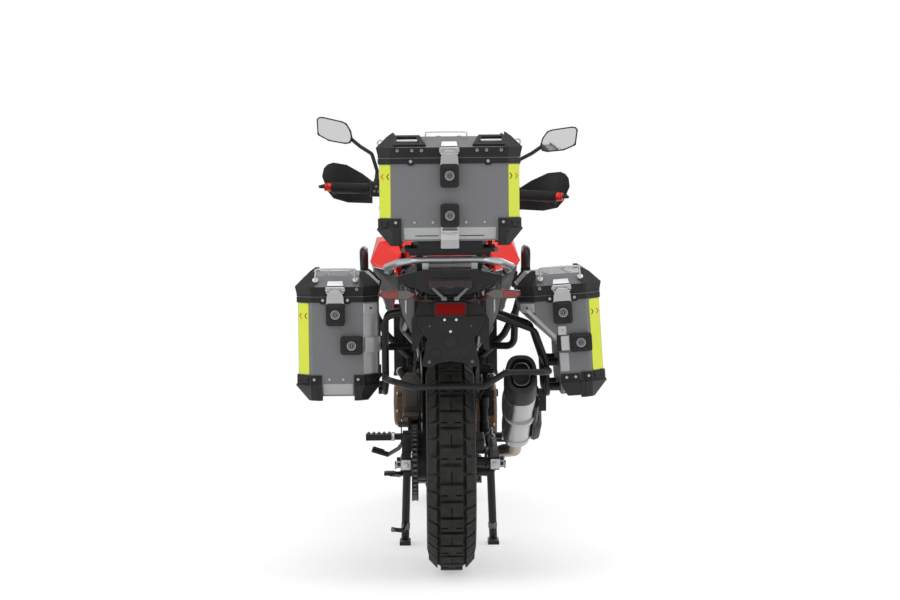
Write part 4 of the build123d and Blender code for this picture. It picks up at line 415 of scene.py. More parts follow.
class Form:
    """Faces of one piece, gathered in millimetres in a local frame."""

    def __init__(self, frame=BASE):
        self.frame, self.points, self.faces = frame, [], []

    def rings(self, rings, closed=True, caps=True, loop=False):
        start, n = len(self.points), len(rings[0])
        for ring in rings:
            self.points += [Vector(p) for p in ring]
        count = len(rings)
        for r in range(count if loop else count - 1):
            low, high = start + r * n, start + (r + 1) % count * n
            for k in range(n if closed else n - 1):
                j = (k + 1) % n
                self.faces.append((low + k, low + j, high + j, high + k))
        if caps and not loop:
            self.faces.append(tuple(start + k for k in reversed(range(n))))
            self.faces.append(tuple(start + (count - 1) * n + k for k in range(n)))
        return self

    def prism(self, outline, axis, low, high, chamfer=0.0, both_ends=False):
        """An outline carried along an axis, with its far edge (or both edges) chamfered."""
        def place(points, at_level):
            if axis == "x":
                return [(at_level, u, v) for u, v in points]
            if axis == "y":
                return [(u, at_level, v) for u, v in points]
            return [(u, v, at_level) for u, v in points]

        sign = 1 if high > low else -1
        levels = []
        if both_ends and chamfer:
            levels += [(low, chamfer), (low + sign * chamfer, 0)]
        else:
            levels += [(low, 0)]
        if chamfer:
            levels += [(high - sign * chamfer, 0), (high, chamfer)]
        else:
            levels += [(high, 0)]
        return self.rings([place(shrunk(outline, s) if s else outline, lv) for lv, s in levels])

    def lathe(self, centre, axis, profile, n=20):
        """A (radius, height) profile turned round an axis."""
        centre, w = Vector(centre), Vector(axis).normalized()
        u = w.orthogonal().normalized()
        v = w.cross(u)
        rings = []
        for radius, height in profile:
            r = max(radius, 0.01)
            rings.append([centre + w * height + (u * cos(a) + v * sin(a)) * r for a in around(n)])
        return self.rings(rings)

    def tube(self, points, radius, n=10, smooth=6, closed=False):
        """A round bar along a smooth curve through points; radius may be one number or one for each point."""
        pts = [Vector(p) for p in points]
        radii = radius if isinstance(radius, (list, tuple)) else [radius] * len(pts)
        path, sizes = [], []
        count = len(pts)
        spans = count if closed else count - 1
        for i in range(spans):
            p1, p2 = pts[i], pts[(i + 1) % count]
            p0 = pts[i - 1] if (i or closed) else p1 * 2 - p2
            p3 = pts[(i + 2) % count] if (i + 2 < count or closed) else p2 * 2 - p1
            for k in range(smooth):
                t = k / smooth
                path.append(0.5 * ((2 * p1) + (p2 - p0) * t + (2 * p0 - 5 * p1 + 4 * p2 - p3) * t ** 2
                                   + (3 * p1 - p0 - 3 * p2 + p3) * t ** 3))
                sizes.append(radii[i] + (radii[(i + 1) % count] - radii[i]) * t)
        if not closed:
            path.append(pts[-1])
            sizes.append(radii[-1])
        total = len(path)
        normal = None
        rings = []
        for i, p in enumerate(path):
            ahead = path[(i + 1) % total] if (closed or i + 1 < total) else p
            behind = path[i - 1] if (closed or i) else p
            direction = (ahead - behind).normalized()
            if normal is None:
                normal = direction.orthogonal().normalized()
            normal = (normal - direction * normal.dot(direction)).normalized()
            side = direction.cross(normal)
            rings.append([p + (normal * cos(a) + side * sin(a)) * sizes[i] for a in around(n)])
        return self.rings(rings, loop=closed)

    def screw(self, place, outward, r=4.5):
        """A domed socket screw."""
        return self.lathe(place, outward, [(r, -0.6), (r, r * 0.28), (r * 0.82, r * 0.55),
                                           (r * 0.46, r * 0.62), (r * 0.42, r * 0.2), (0, r * 0.2)], 12)

    def bolt(self, place, outward, r=6.0):
        """A hexagon bolt head on a washer."""
        self.lathe(place, outward, [(r * 1.45, -0.5), (r * 1.45, r * 0.22), (r * 1.1, r * 0.28)], 16)
        return self.lathe(place, outward,
                          [(r, r * 0.2), (r, r * 0.85), (r * 0.85, r * 0.98), (0, r * 0.98)], 6)

    def done(self, name, slot, finish=None, body="chassis", bevel=0.0, sharp=34.0, replaces=()):
        """Makes the piece: finish is its look when that isn't its slot's own."""
        mesh = bpy.data.meshes.new(name)
        bm = bmesh.new()
        made = [bm.verts.new(self.frame @ (p / 1000)) for p in self.points]
        for face in self.faces:
            try:
                bm.faces.new([made[i] for i in face])
            except ValueError:
                pass
        bmesh.ops.remove_doubles(bm, verts=bm.verts, dist=1e-6)
        bmesh.ops.recalc_face_normals(bm, faces=bm.faces)
        for face in bm.faces:
            face.smooth = True
        for edge in bm.edges:
            if len(edge.link_faces) == 2 and edge.calc_face_angle(0.0) > radians(sharp):
                edge.smooth = False
        bm.to_mesh(mesh)
        bm.free()
        piece = bpy.data.objects.new(name, mesh)
        bpy.context.scene.collection.objects.link(piece)
        piece.data.materials.append(M[finish or slot])
        if bevel:
            edge = piece.modifiers.new("edge", "BEVEL")
            edge.width = bevel / 1000
            edge.segments = 2
            edge.limit_method = "ANGLE"
            edge.angle_limit = radians(sharp)
        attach(piece, body)
        if replaces:
            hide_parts(*replaces)
        return piece


def forms(count, frame=BASE):
    return [Form(frame) for _ in range(count)]


# ---- luggage
CASES = {
    # name: frame, width, length, corner, bevel, bottom, seam, top
    "top": (TOP, 400, 380, 34, 40, 1019, 1256, 1317),
    "left": (LEFT, 235, 400, 42, 40, 551, 849, 910),
    "right": (RIGHT, 235, 400, 42, 40, 551, 849, 910),
}
LATCHES = {
    # case: (x, z, width, height, strap towards) of each lock
    "top": [(0, 1205, 52, 66, "up"), (0, 1092, 52, 66, "down")],
    "left": [(-5, 797, 54, 66, "up"), (42, 705, 65, 53, "right")],
    "right": [(5, 797, 54, 66, "up"), (52, 705, 65, 53, "left")],
}
LID_BAND_TOP = 29  # of a lid's band, above the seam
CHEVRON = [(-5, 0), (3, 8.5), (6.5, 8.5), (-1, 0), (6.5, -8.5), (3, -8.5)]


def dress_case(name):
    frame, width, length, corner, bevel, bottom, seam, top = CASES[name]
    w, l = width / 2, length / 2
    big = name == "top"
    box, lid = "chassis", name + "_case_lid"
    tag = name + "_case_"
    face_half = corner * sqrt(2) / 2
    wall_y = -l
    lid_steel, steel, dark = forms(3, frame)

    def on_corner(side, end=-1):
        return facing(frame, (side * (w - corner / 2), end * (l - corner / 2), 0), (-side, -end))

    def on_bevel(z, out=0.8):
        return (bottom + bevel - z) * 0.7 - out

    # reflective strips on the outer corners of the rear
    sides = (-1, 1) if big else ((-1,) if name == "left" else (1,))
    for side in sides:
        here = on_corner(side)
        strip, mark_a, mark_b = Form(here), Form(here), Form(here)
        x0, x1 = (-face_half + 2, face_half - 2) if big else (-27, 17)
        if side > 0:
            x0, x1 = -x1, -x0
        low = bottom + 67
        high = seam - 19
        strip.prism(soft_rect(x0, low, x1, high, 4), "y", 0, -1.8, 0.6)
        strip.done(f"{tag}strip_{'left' if side < 0 else 'right'}", "case_grey", "hi_vis")
        at_z = high - (34 if big else 38)
        spots = ((12.3, -10.6) if big else (5.1, -17.8))
        for form, at_x, finish, label in ((mark_a, spots[0], "mark_black", "dark"),
                                          (mark_b, spots[1], "mark_red", "red")):
            outline = [((px + at_x) * -side, pz + at_z) for px, pz in CHEVRON]
            form.prism(outline, "y", -1.7, -2.4)
            form.done(f"{tag}arrow_{label}_{'left' if side < 0 else 'right'}", "case_grey", finish)

    # lower bevel of the rear: a lighter plate laid on it, painted sheen, with its slots
    half = w - corner - (34 if big else 30)
    slope = facing(frame, (0, wall_y, 0), (0, 1))
    panel = Form(slope)
    x_low = half - 2
    z_hi, z_lo = bottom + bevel - 1, bottom + 5
    ring = [(-half, on_bevel(z_hi), z_hi), (half, on_bevel(z_hi), z_hi), (x_low, on_bevel(z_lo), z_lo),
            (-x_low, on_bevel(z_lo), z_lo)]
    back = [(x, y + 1.6, z) for x, y, z in ring]
    if name == "right":
        ring = [(max(x, -6), y, z) for x, y, z in ring]
        back = [(max(x, -6), y, z) for x, y, z in back]
    panel.rings([back, ring])
    panel.done(tag + "bevel_painted_sheen", "case_grey", "case_painted_sheen", bevel=0.6)
    # black strips standing in for the slots: painted shade of their openings
    slots = [(-99, -32), (28, 98)] if big else []
    for x0, x1 in slots:
        z = bottom + bevel - 25
        across = ((x0, 1.2), (x1, 1.2), (x1, -1.2), (x0, -1.2))
        dark.rings([[(x, wall_y + on_bevel(z + dz, out), z + dz) for x, dz in across] for out in (0.6, 1.3)])

    # screws: lid band, rim tabs and the lower row
    if big:
        band = [(-148, 1277), (-106, 1277), (-79, 1277), (79, 1277), (106, 1277), (148, 1277)]
        tabs = [(-110, 1247), (110, 1247)]
        row = [(x, 1073) for x in (-154, -101, -48, 46, 99, 152)]
    else:
        mirrored = 1 if name == "left" else -1
        band = [(-72 * mirrored, 871), (59 * mirrored, 871)]
        tabs = [(-42 * mirrored, 840), (31 * mirrored, 840)]
        row = [(x * mirrored, 604) for x in (-70, -25, 16, 60)]
        if name == "right":
            row = [(x, z) for x, z in row if x > -5]
    for x, z in band:
        lid_steel.screw((x, wall_y - 3, z), BACK, 5.0)
    for x, z in tabs:
        lid_tab = rounded([(x - 15, z + 8), (x + 15, z + 8), (x + 15, z - 4), (x + 7, z - 13),
                           (x - 7, z - 13), (x - 15, z - 4)], 6)
        dark.prism(lid_tab, "y", wall_y - 2.6, wall_y - 4.4, 0.8)
        steel.screw((x, wall_y - 4.4, z - 1), BACK, 5.2)
    outermost = max(abs(x) for x, _ in row) - 12
    for x, z in row:
        steel.screw((x, wall_y - (5.4 if abs(x) > outermost else 0), z), BACK, 4.8)
    plates = Form(frame)
    for x in sorted({x for x, _ in row if abs(x) > outermost}):
        drop = [(bottom + 64, 5.0), (bottom + 41, 5.0), (bottom + 35, 9.0), (bottom - 12, -28.4)]
        plates.rings([[(x - 12, wall_y - out, z), (x + 12, wall_y - out, z),
                       (x + 10.5, wall_y - out - 2, z - 0.8), (x - 10.5, wall_y - out - 2, z - 0.8)]
                      for z, out in drop])
        steel.screw((x, wall_y + 19.5, bottom + 2), (0, -0.78, -0.62), 4.4)
        steel.screw((x, wall_y - 7.2, row[0][1]), BACK, 4.8)
    plates.done(tag + "guard_plates", "plastic_black", bevel=0.4)
    if big:
        for x in (-86, -45, 42, 84):
            z = 1030
            steel.screw((x, wall_y + on_bevel(z, 0.8), z), (0, -0.82, -0.57), 2.4)

    # locks, straps and their keepers
    locks, keys = Form(frame), Form(frame)
    for x, z, lw, lh, way in LATCHES[name]:
        y = wall_y
        outline = soft_rect(x - lw / 2 - 0.8, z - lh / 2 - 0.8, x + lw / 2 + 0.8, z + lh / 2 + 0.8, 10, 5)
        locks.prism(outline, "y", y - 0.2, y - 23.2, 3.2)
        locks.prism(shrunk(outline, 7), "y", y - 22.6, y - 24.6, 1.2)
        keys.lathe((x, y, z), BACK, [(12.4, 22), (12.4, 28.6), (11.2, 30.2), (5.2, 30.2),
                                     (4.6, 29.2), (0, 29.2)], 28)
        steel.lathe((x, y, z), BACK, [(12.6, 28.0), (13.4, 28.4), (13.4, 29.4), (12.0, 29.8), (11.2, 29.0)],
                    28)
        steel.prism(rect(x - 0.8, z - 3.6, x + 0.8, z + 3.6), "y", y - 29.0, y - 30.3)
        across = lw * 0.5 if way in ("up", "down") else lh * 0.42
        if way == "up":
            base = z + lh / 2
            strap = rounded([(x - across, base - 8), (x + across, base - 8), (x + across * 0.92, base + 22),
                             (x + across * 0.62, base + 38), (x - across * 0.62, base + 38),
                             (x - across * 0.92, base + 22)], 5)
            steel.prism(strap, "y", y - 16, y - 20, 1.0, True)
            keeper = soft_rect(x - across * 1.1, seam + 14, x + across * 1.1, seam + LID_BAND_TOP, 5)
            lid_steel.prism(keeper, "y", y - 2.5, y - 8.5, 1.4)
            lid_steel.tube([(x - across * 0.8, y - 8, seam + 14), (x - across * 0.8, y - 17, seam + 11),
                            (x + across * 0.8, y - 17, seam + 11), (x + across * 0.8, y - 8, seam + 14)],
                           2.4, 8, 5)
            for dx in (-13, 13):
                lid_steel.screw((x + dx, y - 8.5, seam + 22), BACK, 3.6)
            nose = [(x - across * 0.9, y - 3, seam + 30), (x + across * 0.9, y - 3, seam + 30),
                    (x + across * 0.8, y + 9, seam + 43), (x - across * 0.8, y + 9, seam + 43)]
            lid_steel.rings([nose, [(px, py - 3, pz + 3) for px, py, pz in nose]])
        elif way == "down":
            base = z - lh / 2
            steel.tube([(x - across * 0.82, y - 14, base + 4), (x - across * 0.82, y - 12, base - 16),
                        (x + across * 0.82, y - 12, base - 16), (x + across * 0.82, y - 14, base + 4)],
                       2.6, 8, 5)
            tongue = [(x - across, on_bevel(base - 16, 6) + wall_y - 3, base - 10),
                      (x + across, on_bevel(base - 16, 6) + wall_y - 3, base - 10),
                      (x + across, wall_y + on_bevel(bottom + 4, 3), bottom + 3),
                      (x - across, wall_y + on_bevel(bottom + 4, 3), bottom + 3)]
            steel.rings([tongue, [(px, py - 4, pz) for px, py, pz in tongue]])
            hook = soft_rect(x - across, bottom - 22, x + across, bottom + 6, 4)
            steel.prism(hook, "y", wall_y + 25, wall_y + 20, 1.2, True)
        else:
            sign = 1 if way == "right" else -1
            edge = x + sign * lw / 2
            inner_wall = sign * (w - corner)
            strap = sorted((edge - sign * 4, inner_wall if name == "left" else edge + sign * 26))
            steel.prism(soft_rect(strap[0], z - across, strap[1], z + across, 4), "y", y - 8, y
                        - 12, 1.2, True)
            if name == "left":
                wrap = Form(on_corner(sign))
                wrap.prism(soft_rect(-face_half + 4, z - across, face_half + 6, z + across, 4), "y",
                           -4, -8, 1.2, True)
                wrap.done(tag + "wrap_strap", "guard_aluminium", "plate_white")
            else:
                locks.prism(soft_rect(-18, z - 24, 12, z + 24, 6), "y", y - 0.5, y - 6, 1.5)
    if name == "left":
        # a pale plate over the inner rear corner face: painted sheen where that face catches the light
        painted_sheen_face = Form(on_corner(1))
        painted_sheen_face.prism(soft_rect(-face_half + 2, bottom + 68, face_half - 1, seam - 19, 2),
                         "y", 0, -0.9, 0.3)
        painted_sheen_face.done(tag + "bright_corner", "guard_aluminium", "plate_white")
    locks.done(tag + "locks", "plastic_black", bevel=0.5)
    keys.done(tag + "keys", "guard_aluminium", "panel_grey")
    steel.done(tag + "screws", "guard_aluminium", "steel")
    lid_steel.done(tag + "lid_screws", "guard_aluminium", "steel", body=lid)
    # lid tabs, plus the slot strips, whose black is painted shade
    dark.done(tag + "tabs", "plastic_black")

    # black bands round the mouth, one on the lid and one on the box
    for label, body, z0, z1 in (("lid_band", lid, seam + 0.4, seam + 29.4),
                                ("rim_band", box, seam - 17.4, seam - 0.9)):
        corners = []
        for g in (2.6, 4.0):
            c = corner + g * (2 - sqrt(2))
            a, b = w + g, l + g
            corners.append([(a, b - c), (a - c, b), (c - a, b), (-a, b - c), (-a, c - b), (c - a, -b),
                            (a - c, -b), (a, c - b)])
        band_form = Form(frame)
        band_form.rings([[(*inner, z0), (*inner, z1), (*outer, z1 - 0.8), (*outer, z0 + 0.8)]
                         for inner, outer in zip(*corners)], loop=True)
        band_form.done(tag + label, "plastic_black", body=body)

    # a wire handle on the lid, with its eyelets
    handle = Form(frame)
    if big:
        handle.tube([(-66, wall_y + 24, 1314), (-66, wall_y + 20, 1325), (-56, wall_y + 20, 1329),
                     (40, wall_y + 20, 1329), (50, wall_y + 20, 1325), (50, wall_y + 24, 1314)], 1.8, 8, 5)
        for side in (-1, 1):
            ring = [(side * 196 + 8 * cos(a), wall_y + 38, 1300 + 8 * sin(a)) for a in around(10)]
            handle.tube(ring, 2.4, 8, 2, True)
    else:
        m = 1 if name == "left" else -1
        handle.tube([(-64 * m, wall_y + 13, 900), (-62 * m, wall_y + 8, 921), (-54 * m, wall_y + 6, 930),
                     (46 * m, wall_y + 6, 930), (52 * m, wall_y + 8, 921), (54 * m, wall_y + 13, 900)],
                    3.1, 10, 5)
        for x in (-64 * m, 55 * m):
            handle.lathe((x, wall_y + 10, 897), (0, -1, 1), [(9, -1), (9, 3), (6.5, 4), (0, 4)], 20)
            for dz in (-4, 4):
                handle.screw((x, wall_y + 10 - 3 + dz * 0.7, 897 + 3 + dz * 0.7), (0, -1, 1), 2.2)
    handle.done(tag + "handle", "guard_aluminium", "steel_satin", body=lid)

    if big:
        # tie-down brackets on the lid's rear bevel, each with its bar
        brackets, bars = Form(frame), Form(frame)
        for side in (-1, 1):
            def on_lid(x, z, out):
                return (side * x, wall_y + (z - 1286) - out * 0.7, z + out * 0.7)
            outer = [(161, 1288), (161, 1316), (84, 1316), (66, 1288)]
            hole = [(149, 1294), (149, 1310), (94, 1310), (86, 1294)]
            for i in range(4):
                j = (i + 1) % 4
                quad = [outer[i], outer[j], hole[j], hole[i]]
                brackets.rings([[on_lid(x, z, 0) for x, z in quad], [on_lid(x, z, 8) for x, z in quad]])
            bars.tube([on_lid(152, 1302, 3), on_lid(90, 1302, 3)], 4.2, 12, 2)
        brackets.done(tag + "tie_downs", "plastic_black", body=lid, bevel=1.2)
        bars.done(tag + "tie_bars", "rail_silver", body=lid)

    # ribs on the corner guards
    for side in (-1, 1):
        for end in ((-1,) if big else (-1, 1)):
            if name == "right" and side < 0:
                continue
            rib = Form(on_corner(side, end))
            low, high = bottom + 40, bottom + 62
            rib.prism(rounded([(-face_half * 0.7, high - 1), (face_half * 0.7, high - 1),
                               (face_half * 0.55, low), (-face_half * 0.55, low)], 4), "y", -4.5, -7.2, 1.0)
            for x in (-face_half * 0.42, face_half * 0.42):
                rib.screw((x, -7.2, (low + high) / 2), BACK, 4.0)
            rib.done(f"{tag}guard_rib_{'left' if side < 0 else 'right'}_{'rear' if end < 0 else 'front'}",
                     "plastic_black")
    # panel lines pressed into the outer sides
    press = Form(frame)
    for side in sides:
        for up in ((96, 150) if big else (110, 170, 230)):
            z = bottom + up
            line = soft_rect(-l + corner + 26, z - 5, l - corner - 26, z + 5, 5)
            press.prism(line, "x", side * w, side * (w + 1.6), 1.2)
    press.done(tag + "pressings", "case_grey")
    lid_rib = Form(frame)
    for x in ((-90, -30, 30, 90) if big else (-34, 34)):
        lid_rib.prism(soft_rect(x - 7, -l + 62, x + 7, l - 62, 7), "z", top - 0.2, top + 2.2, 1.4)
    lid_rib.done(tag + "lid_ribs", "case_grey", body=lid)
    hinge_bolts = Form(frame)
    reach, split = (92, 60) if big else (56, 34)
    for side in (-1, 1):
        hinge_bolts.screw((side * (reach - (reach - split) / 2), l + 2, seam - 24), (0, 1, 0), 4.2)
        hinge_bolts.lathe((side * reach, l + 14, seam), (side, 0, 0),
                          [(5.4, -0.5), (5.4, 1.4), (3.6, 2.4), (0, 2.4)], 14)
    hinge_bolts.done(tag + "hinge_bolts", "guard_aluminium", "steel")


for which in CASES:
    dress_case(which)

# ---- wheels
SPOKES = 32


def turned(point, centre, angle):
    """A point turned about a wheel's axle."""
    x, y, z = point
    c, s = cos(angle), sin(angle)
    return Vector((x, y * c - z * s, y * s + z * c)) + centre


def lathe_x(form, centre, profile, n=96):
    """A closed (x, radius) profile turned round a wheel's axle."""
    form.rings([[turned((x, 0, r), centre, 2 * pi * k / n) for x, r in profile] for k in range(n)], loop=True)


def dress_wheel(tag, frame, body, centre, radius, width, rim_radius, rim_width, barrel, flange,
                hub_length, discs):
    half, carcass = width / 2, radius - 9
    walls, glints, spokes, nipples, plates, bolts = forms(6, frame)
    for side in (-1, 1):
        profile = [(rim_width / 2, rim_radius + 14), (half - 9, rim_radius + 24),
                   (half - 1.6, rim_radius + 37), (half + 0.8, rim_radius + 50), (half + 1.1, carcass - 50),
                   (half - 1.5, carcass - 40), (half - 5, carcass - 42), (half - 4, rim_radius + 44),
                   (rim_width / 2 - 2, rim_radius + 20)]
        lathe_x(walls, centre, [(side * x, r) for x, r in profile])
        for r, x in ((rim_radius + 31, half - 3.6), (rim_radius + 41, half), (carcass - 54, half + 1.4)):
            lathe_x(walls, centre, [(side * (x - 1), r - 1.4), (side * (x + 1.2), r),
                                    (side * (x - 1), r + 1.4)])
        lip = [(rim_width / 2 + 5.2, rim_radius + 13.6), (rim_width / 2 + 7.0, rim_radius + 10),
               (rim_width / 2 + 5.6, rim_radius - 7), (rim_width / 2 + 4.2, rim_radius - 7)]
        lathe_x(glints, centre, [(side * x, r) for x, r in lip])
    for k in range(SPOKES):
        side = -1 if k % 2 else 1
        lean = radians(26.0 if (k // 2) % 2 else -26.0)
        reach = rim_radius - 22.9
        root = Vector((side * (hub_length / 2 - 17), 0, flange - 6))
        tip = Vector((side * 8, reach * sin(lean) * 0.55, 0))
        tip.z = sqrt(reach ** 2 - tip.y ** 2)
        angle = radians(360.0 * k / SPOKES)
        a, b = turned(root, centre, angle), turned(tip, centre, angle)
        along = (b - a).normalized()
        spokes.tube([a - along * 3, b], 2.5, 8, 1)
        nipples.lathe(b - along * 17, along, [(2.6, 0), (3.9, 2.5), (3.9, 12), (4.8, 14), (4.8, 18.2)], 8)
        bolts.lathe(a, (side, 0, 0), [(4.2, -1), (4.2, 3.6), (2.4, 5.2), (0, 5.2)], 10)
    for x, outer, inner, holes, carrier in discs:
        mid, step = (outer + inner) / 2, 2 * pi / holes
        for side in (-1, 1):
            face = x + side * 2.3
            for r0, r1 in ((inner + 1, mid - 7.5), (mid + 7.5, outer + 0.3)):
                lathe_x(plates, centre, [(face, r0), (face, r1), (face + side * 0.9, r1 - 0.3),
                                         (face + side * 0.9, r0)])
            for k in range(holes):
                arc = [(k + 0.5) * step + (j / 4 - 0.5) * (step - 15 / mid) for j in range(5)]
                cells = []
                for angle in arc:
                    cells.append([Vector((px, r * cos(angle), r * sin(angle))) + centre
                                  for px, r in ((face, mid - 7.6), (face, mid + 7.6),
                                                (face + side * 0.9, mid + 7.6),
                                                (face + side * 0.9, mid - 7.6))])
                plates.rings(cells)
        for k in range(5):
            angle = 2 * pi * (k / 5) + pi / 2
            for side in (-1, 1):
                spot = Vector((x + side * 2.5, (inner + 3) * cos(angle), (inner + 3) * sin(angle))) + centre
                bolts.lathe(spot, (side, 0, 0), [(8, -0.5), (8, 1.8), (5, 2.6), (4, 1.4), (0, 1.4)], 14)
                spot = Vector((x + side * 2.5, (carrier - 9) * cos(angle),
                               (carrier - 9) * sin(angle))) + centre
                bolts.bolt(spot, (side, 0, 0), 5)
    for side in (-1, 1):
        lathe_x(glints, centre, [(side * (hub_length / 2 - 24), barrel - 1),
                                 (side * (hub_length / 2 - 30), barrel + 3.5),
                                 (side * (hub_length / 2 - 36), barrel - 1)], 48)
    valve = turned((rim_width * 0.2, 0, rim_radius - 20), centre, radians(200))
    nipples.lathe(valve, (valve - centre) * -1, [(4, -2), (4, 3), (2.6, 5), (2.6, 30), (3.4, 31),
                                                 (3.4, 36), (0, 37)], 12)
    walls.done(tag + "_sidewalls", "tyre_black", body=body, sharp=50)
    glints.done(tag + "_rim_lips", "rim_black", "gloss_black", body=body, sharp=50)
    spokes.done(tag + "_spokes", "hub_black", "steel_satin", body=body)
    nipples.done(tag + "_nipples", "hub_black", "steel", body=body)
    plates.done(tag + "_brake_faces", "hub_black", "steel_satin", body=body, sharp=50)
    bolts.done(tag + "_wheel_bolts", "hub_black", "steel", body=body)


REAR_WHEEL = ("rear", BASE, "rear_wheel", REAR_AXLE, 328.0, 142.0)
FRONT_WHEEL = ("front", STEERED, "front_wheel", FRONT_AXLE, 329.0, 110.0)
dress_wheel(*REAR_WHEEL, 216.0, 88.0, 38, 62, 150.0, [(72.0, 120.0, 78.0, 12, 44.0)])
dress_wheel(*FRONT_WHEEL, 241.0, 62.0, 28, 48, 124.0, [(-62.0, 150.0, 108.0, 16, 40.0),
                                                       (62.0, 150.0, 108.0, 16, 40.0)])

# tread: the centre blocks carry a thin near-black strip, painted shade in place of a slit, and the shoulder
# ones have a pad each
TREAD_BLOCKS = 38
for tag, wheel_frame, body, centre, radius, width in (REAR_WHEEL, FRONT_WHEEL):
    ridges = Form(wheel_frame)
    for k in range(TREAD_BLOCKS):
        for side in (-1, 1):
            inner, outer = width * 0.30, width * 0.47
            angle = radians(360.0 * (k + 0.45) / TREAD_BLOCKS + 6.0)
            half_arc = radians(360.0 / TREAD_BLOCKS * 0.28)
            ring = []
            for x in (inner + 2.5, outer - 3.0):
                r = radius - 7 - (x - inner) * (26.0 / (outer - inner))
                ring.append([turned((side * x, 0, r - 2), centre, angle - half_arc),
                             turned((side * x, 0, r + 1.6), centre, angle - half_arc * 0.9),
                             turned((side * x, 0, r + 1.6), centre, angle + half_arc * 0.9),
                             turned((side * x, 0, r - 2), centre, angle + half_arc)])
            ridges.rings(ring)
    ridges.done(tag + "_shoulder_pads", "tyre_black", body=body)
    # the slits are proud near-black strips: painted shade, not cut grooves
    slit_shade = Form(wheel_frame)
    for k in range(TREAD_BLOCKS):
        start = radians(360.0 * k / TREAD_BLOCKS + 1.9)
        stop = radians(360.0 * (k + 1) / TREAD_BLOCKS)
        marks = [(-1.3, 1.3, 0.06, 0.94)] if k % 2 else [(-width * 0.21, -width * 0.08, 0.42, 0.50),
                                                         (width * 0.08, width * 0.21, 0.42, 0.50)]
        for x0, x1, t0, t1 in marks:
            a, b = start + (stop - start) * t0, start + (stop - start) * t1
            slit_shade.rings([[turned((x, 0, radius - 2), centre, g), turned((x, 0, radius + 0.35), centre, g)]
                         for x, g in ((x0, a), (x1, a), (x1, b), (x0, b))], closed=False,
                        caps=False, loop=True)
            slit_shade.faces.append(tuple(range(len(slit_shade.points) - 7, len(slit_shade.points) + 1, 2)))
    slit_shade.done(tag + "_tread_slit_shade", "tyre_black", "slit_painted_shade", body=body)

# ---- chain
PITCH = 15.875
CHAIN_X = -108.0
REAR_TEETH, FRONT_TEETH = 44, 16
BIG, SMALL = (PITCH / 2 / sin(pi / teeth) for teeth in (REAR_TEETH, FRONT_TEETH))
SMALL_AT = (PIVOT_Y + 75.0, PIVOT_Z + 12.0)


def chain_path():
    """The pitch line of the chain as evenly spaced pin places (y, z)."""
    rear, front = Vector((0, REAR_AXLE.z)), Vector(SMALL_AT)
    line = front - rear
    tilt = atan2(line.y, line.x)
    spread = acos((BIG - SMALL) / line.length)
    points = []
    for k in range(61):
        angle = tilt + spread + (2 * pi - 2 * spread) * k / 60
        points.append(rear + Vector((cos(angle), sin(angle))) * BIG)
    for k in range(41):
        angle = tilt - spread + 2 * spread * k / 40
        points.append(front + Vector((cos(angle), sin(angle))) * SMALL)
    lengths = [0.0]
    closed = points + [points[0]]
    for a, b in zip(closed, closed[1:]):
        lengths.append(lengths[-1] + (b - a).length)
    count = 2 * round(lengths[-1] / PITCH / 2)
    pins, i = [], 0
    for k in range(count):
        want = lengths[-1] * k / count
        while lengths[i + 1] < want:
            i += 1
        t = (want - lengths[i]) / (lengths[i + 1] - lengths[i])
        pins.append(closed[i].lerp(closed[i + 1], t))
    return pins


pins = chain_path()
links, rollers = Form(), Form()
for k, pin in enumerate(pins):
    after = pins[(k + 1) % len(pins)]
    along = (after - pin).normalized()
    across = Vector((-along.y, along.x))
    outline = []
    for end, base in ((after, -90), (pin, 90)):
        for j in range(6):
            a = radians(base + 36 * j)
            direction = along * cos(a) + across * sin(a)
            outline.append(end + direction * 7.2)
    mid = (pin + after) / 2
    outline.insert(6, mid + across * 5.4)
    outline.append(mid - across * 5.4)
    flat = [(p.x, p.y) for p in outline]
    low, high = (7.6, 9.6) if k % 2 else (5.2, 7.2)
    for side in (-1, 1):
        links.prism(flat, "x", CHAIN_X + side * low, CHAIN_X + side * high, 0.5)
    rollers.lathe((CHAIN_X, pin.x, pin.y), (1, 0, 0), [(2.6, -10), (2.6, -5.6), (5.0, -5.4), (5.0, 5.4),
                                                       (2.6, 5.6), (2.6, 10)], 10)
links.done("chain_links", "chain_steel", replaces=("chain",))
rollers.done("chain_rollers", "chain_steel", "steel_dark")

# ---- shock
SHOCK_LOW = Vector((0, 404, 405))
SHOCK_HIGH = Vector((0, PIVOT_Y - 20, 668))
shock_way = (SHOCK_HIGH - SHOCK_LOW).normalized()
shock_long = (SHOCK_HIGH - SHOCK_LOW).length
damper, coil = Form(), Form()
damper.lathe(SHOCK_LOW, shock_way, [(15, 4), (15, 38), (33, 40), (35.5, 42), (35.5, 48), (33, 50), (14, 51),
                                    (14, 120), (21, 122), (21, shock_long - 70), (34, shock_long - 68),
                                    (35.5, shock_long - 66), (35.5, shock_long - 56), (24, shock_long - 54),
                                    (22, shock_long - 20), (12, shock_long - 6)], 32)
for end in (SHOCK_LOW, SHOCK_HIGH):
    damper.lathe(end, (1, 0, 0), [(10, -19), (18, -18), (18, 18), (10, 19)], 24)
side_way = Vector((1, 0, 0))
up_way = shock_way.cross(side_way)
turns = 6.5
helix = []
for k in range(int(turns * 16) + 1):
    a = 2 * pi * k / 16
    along = 54 + (shock_long - 72 - 54) * k / (turns * 16)
    helix.append(SHOCK_LOW + shock_way * along + (side_way * cos(a) + up_way * sin(a)) * 28.5)
coil.tube(helix, 5.4, 10, 1)
damper.done("shock_body", "spring_black", "gloss_black", replaces=("shock",))
coil.done("shock_spring", "spring_black", "anodised_red")

# ---- silencer
CAN_FRONT, CAN_REAR = Vector((209, 240, 376)), Vector((208, -250, 624))
can_way = (CAN_REAR - CAN_FRONT).normalized()
can_long = (CAN_REAR - CAN_FRONT).length
can_x = Vector((1, 0, 0))
can_y = can_way.cross(can_x).normalized()


def along_can(part):
    return CAN_FRONT + can_way * (can_long * part)


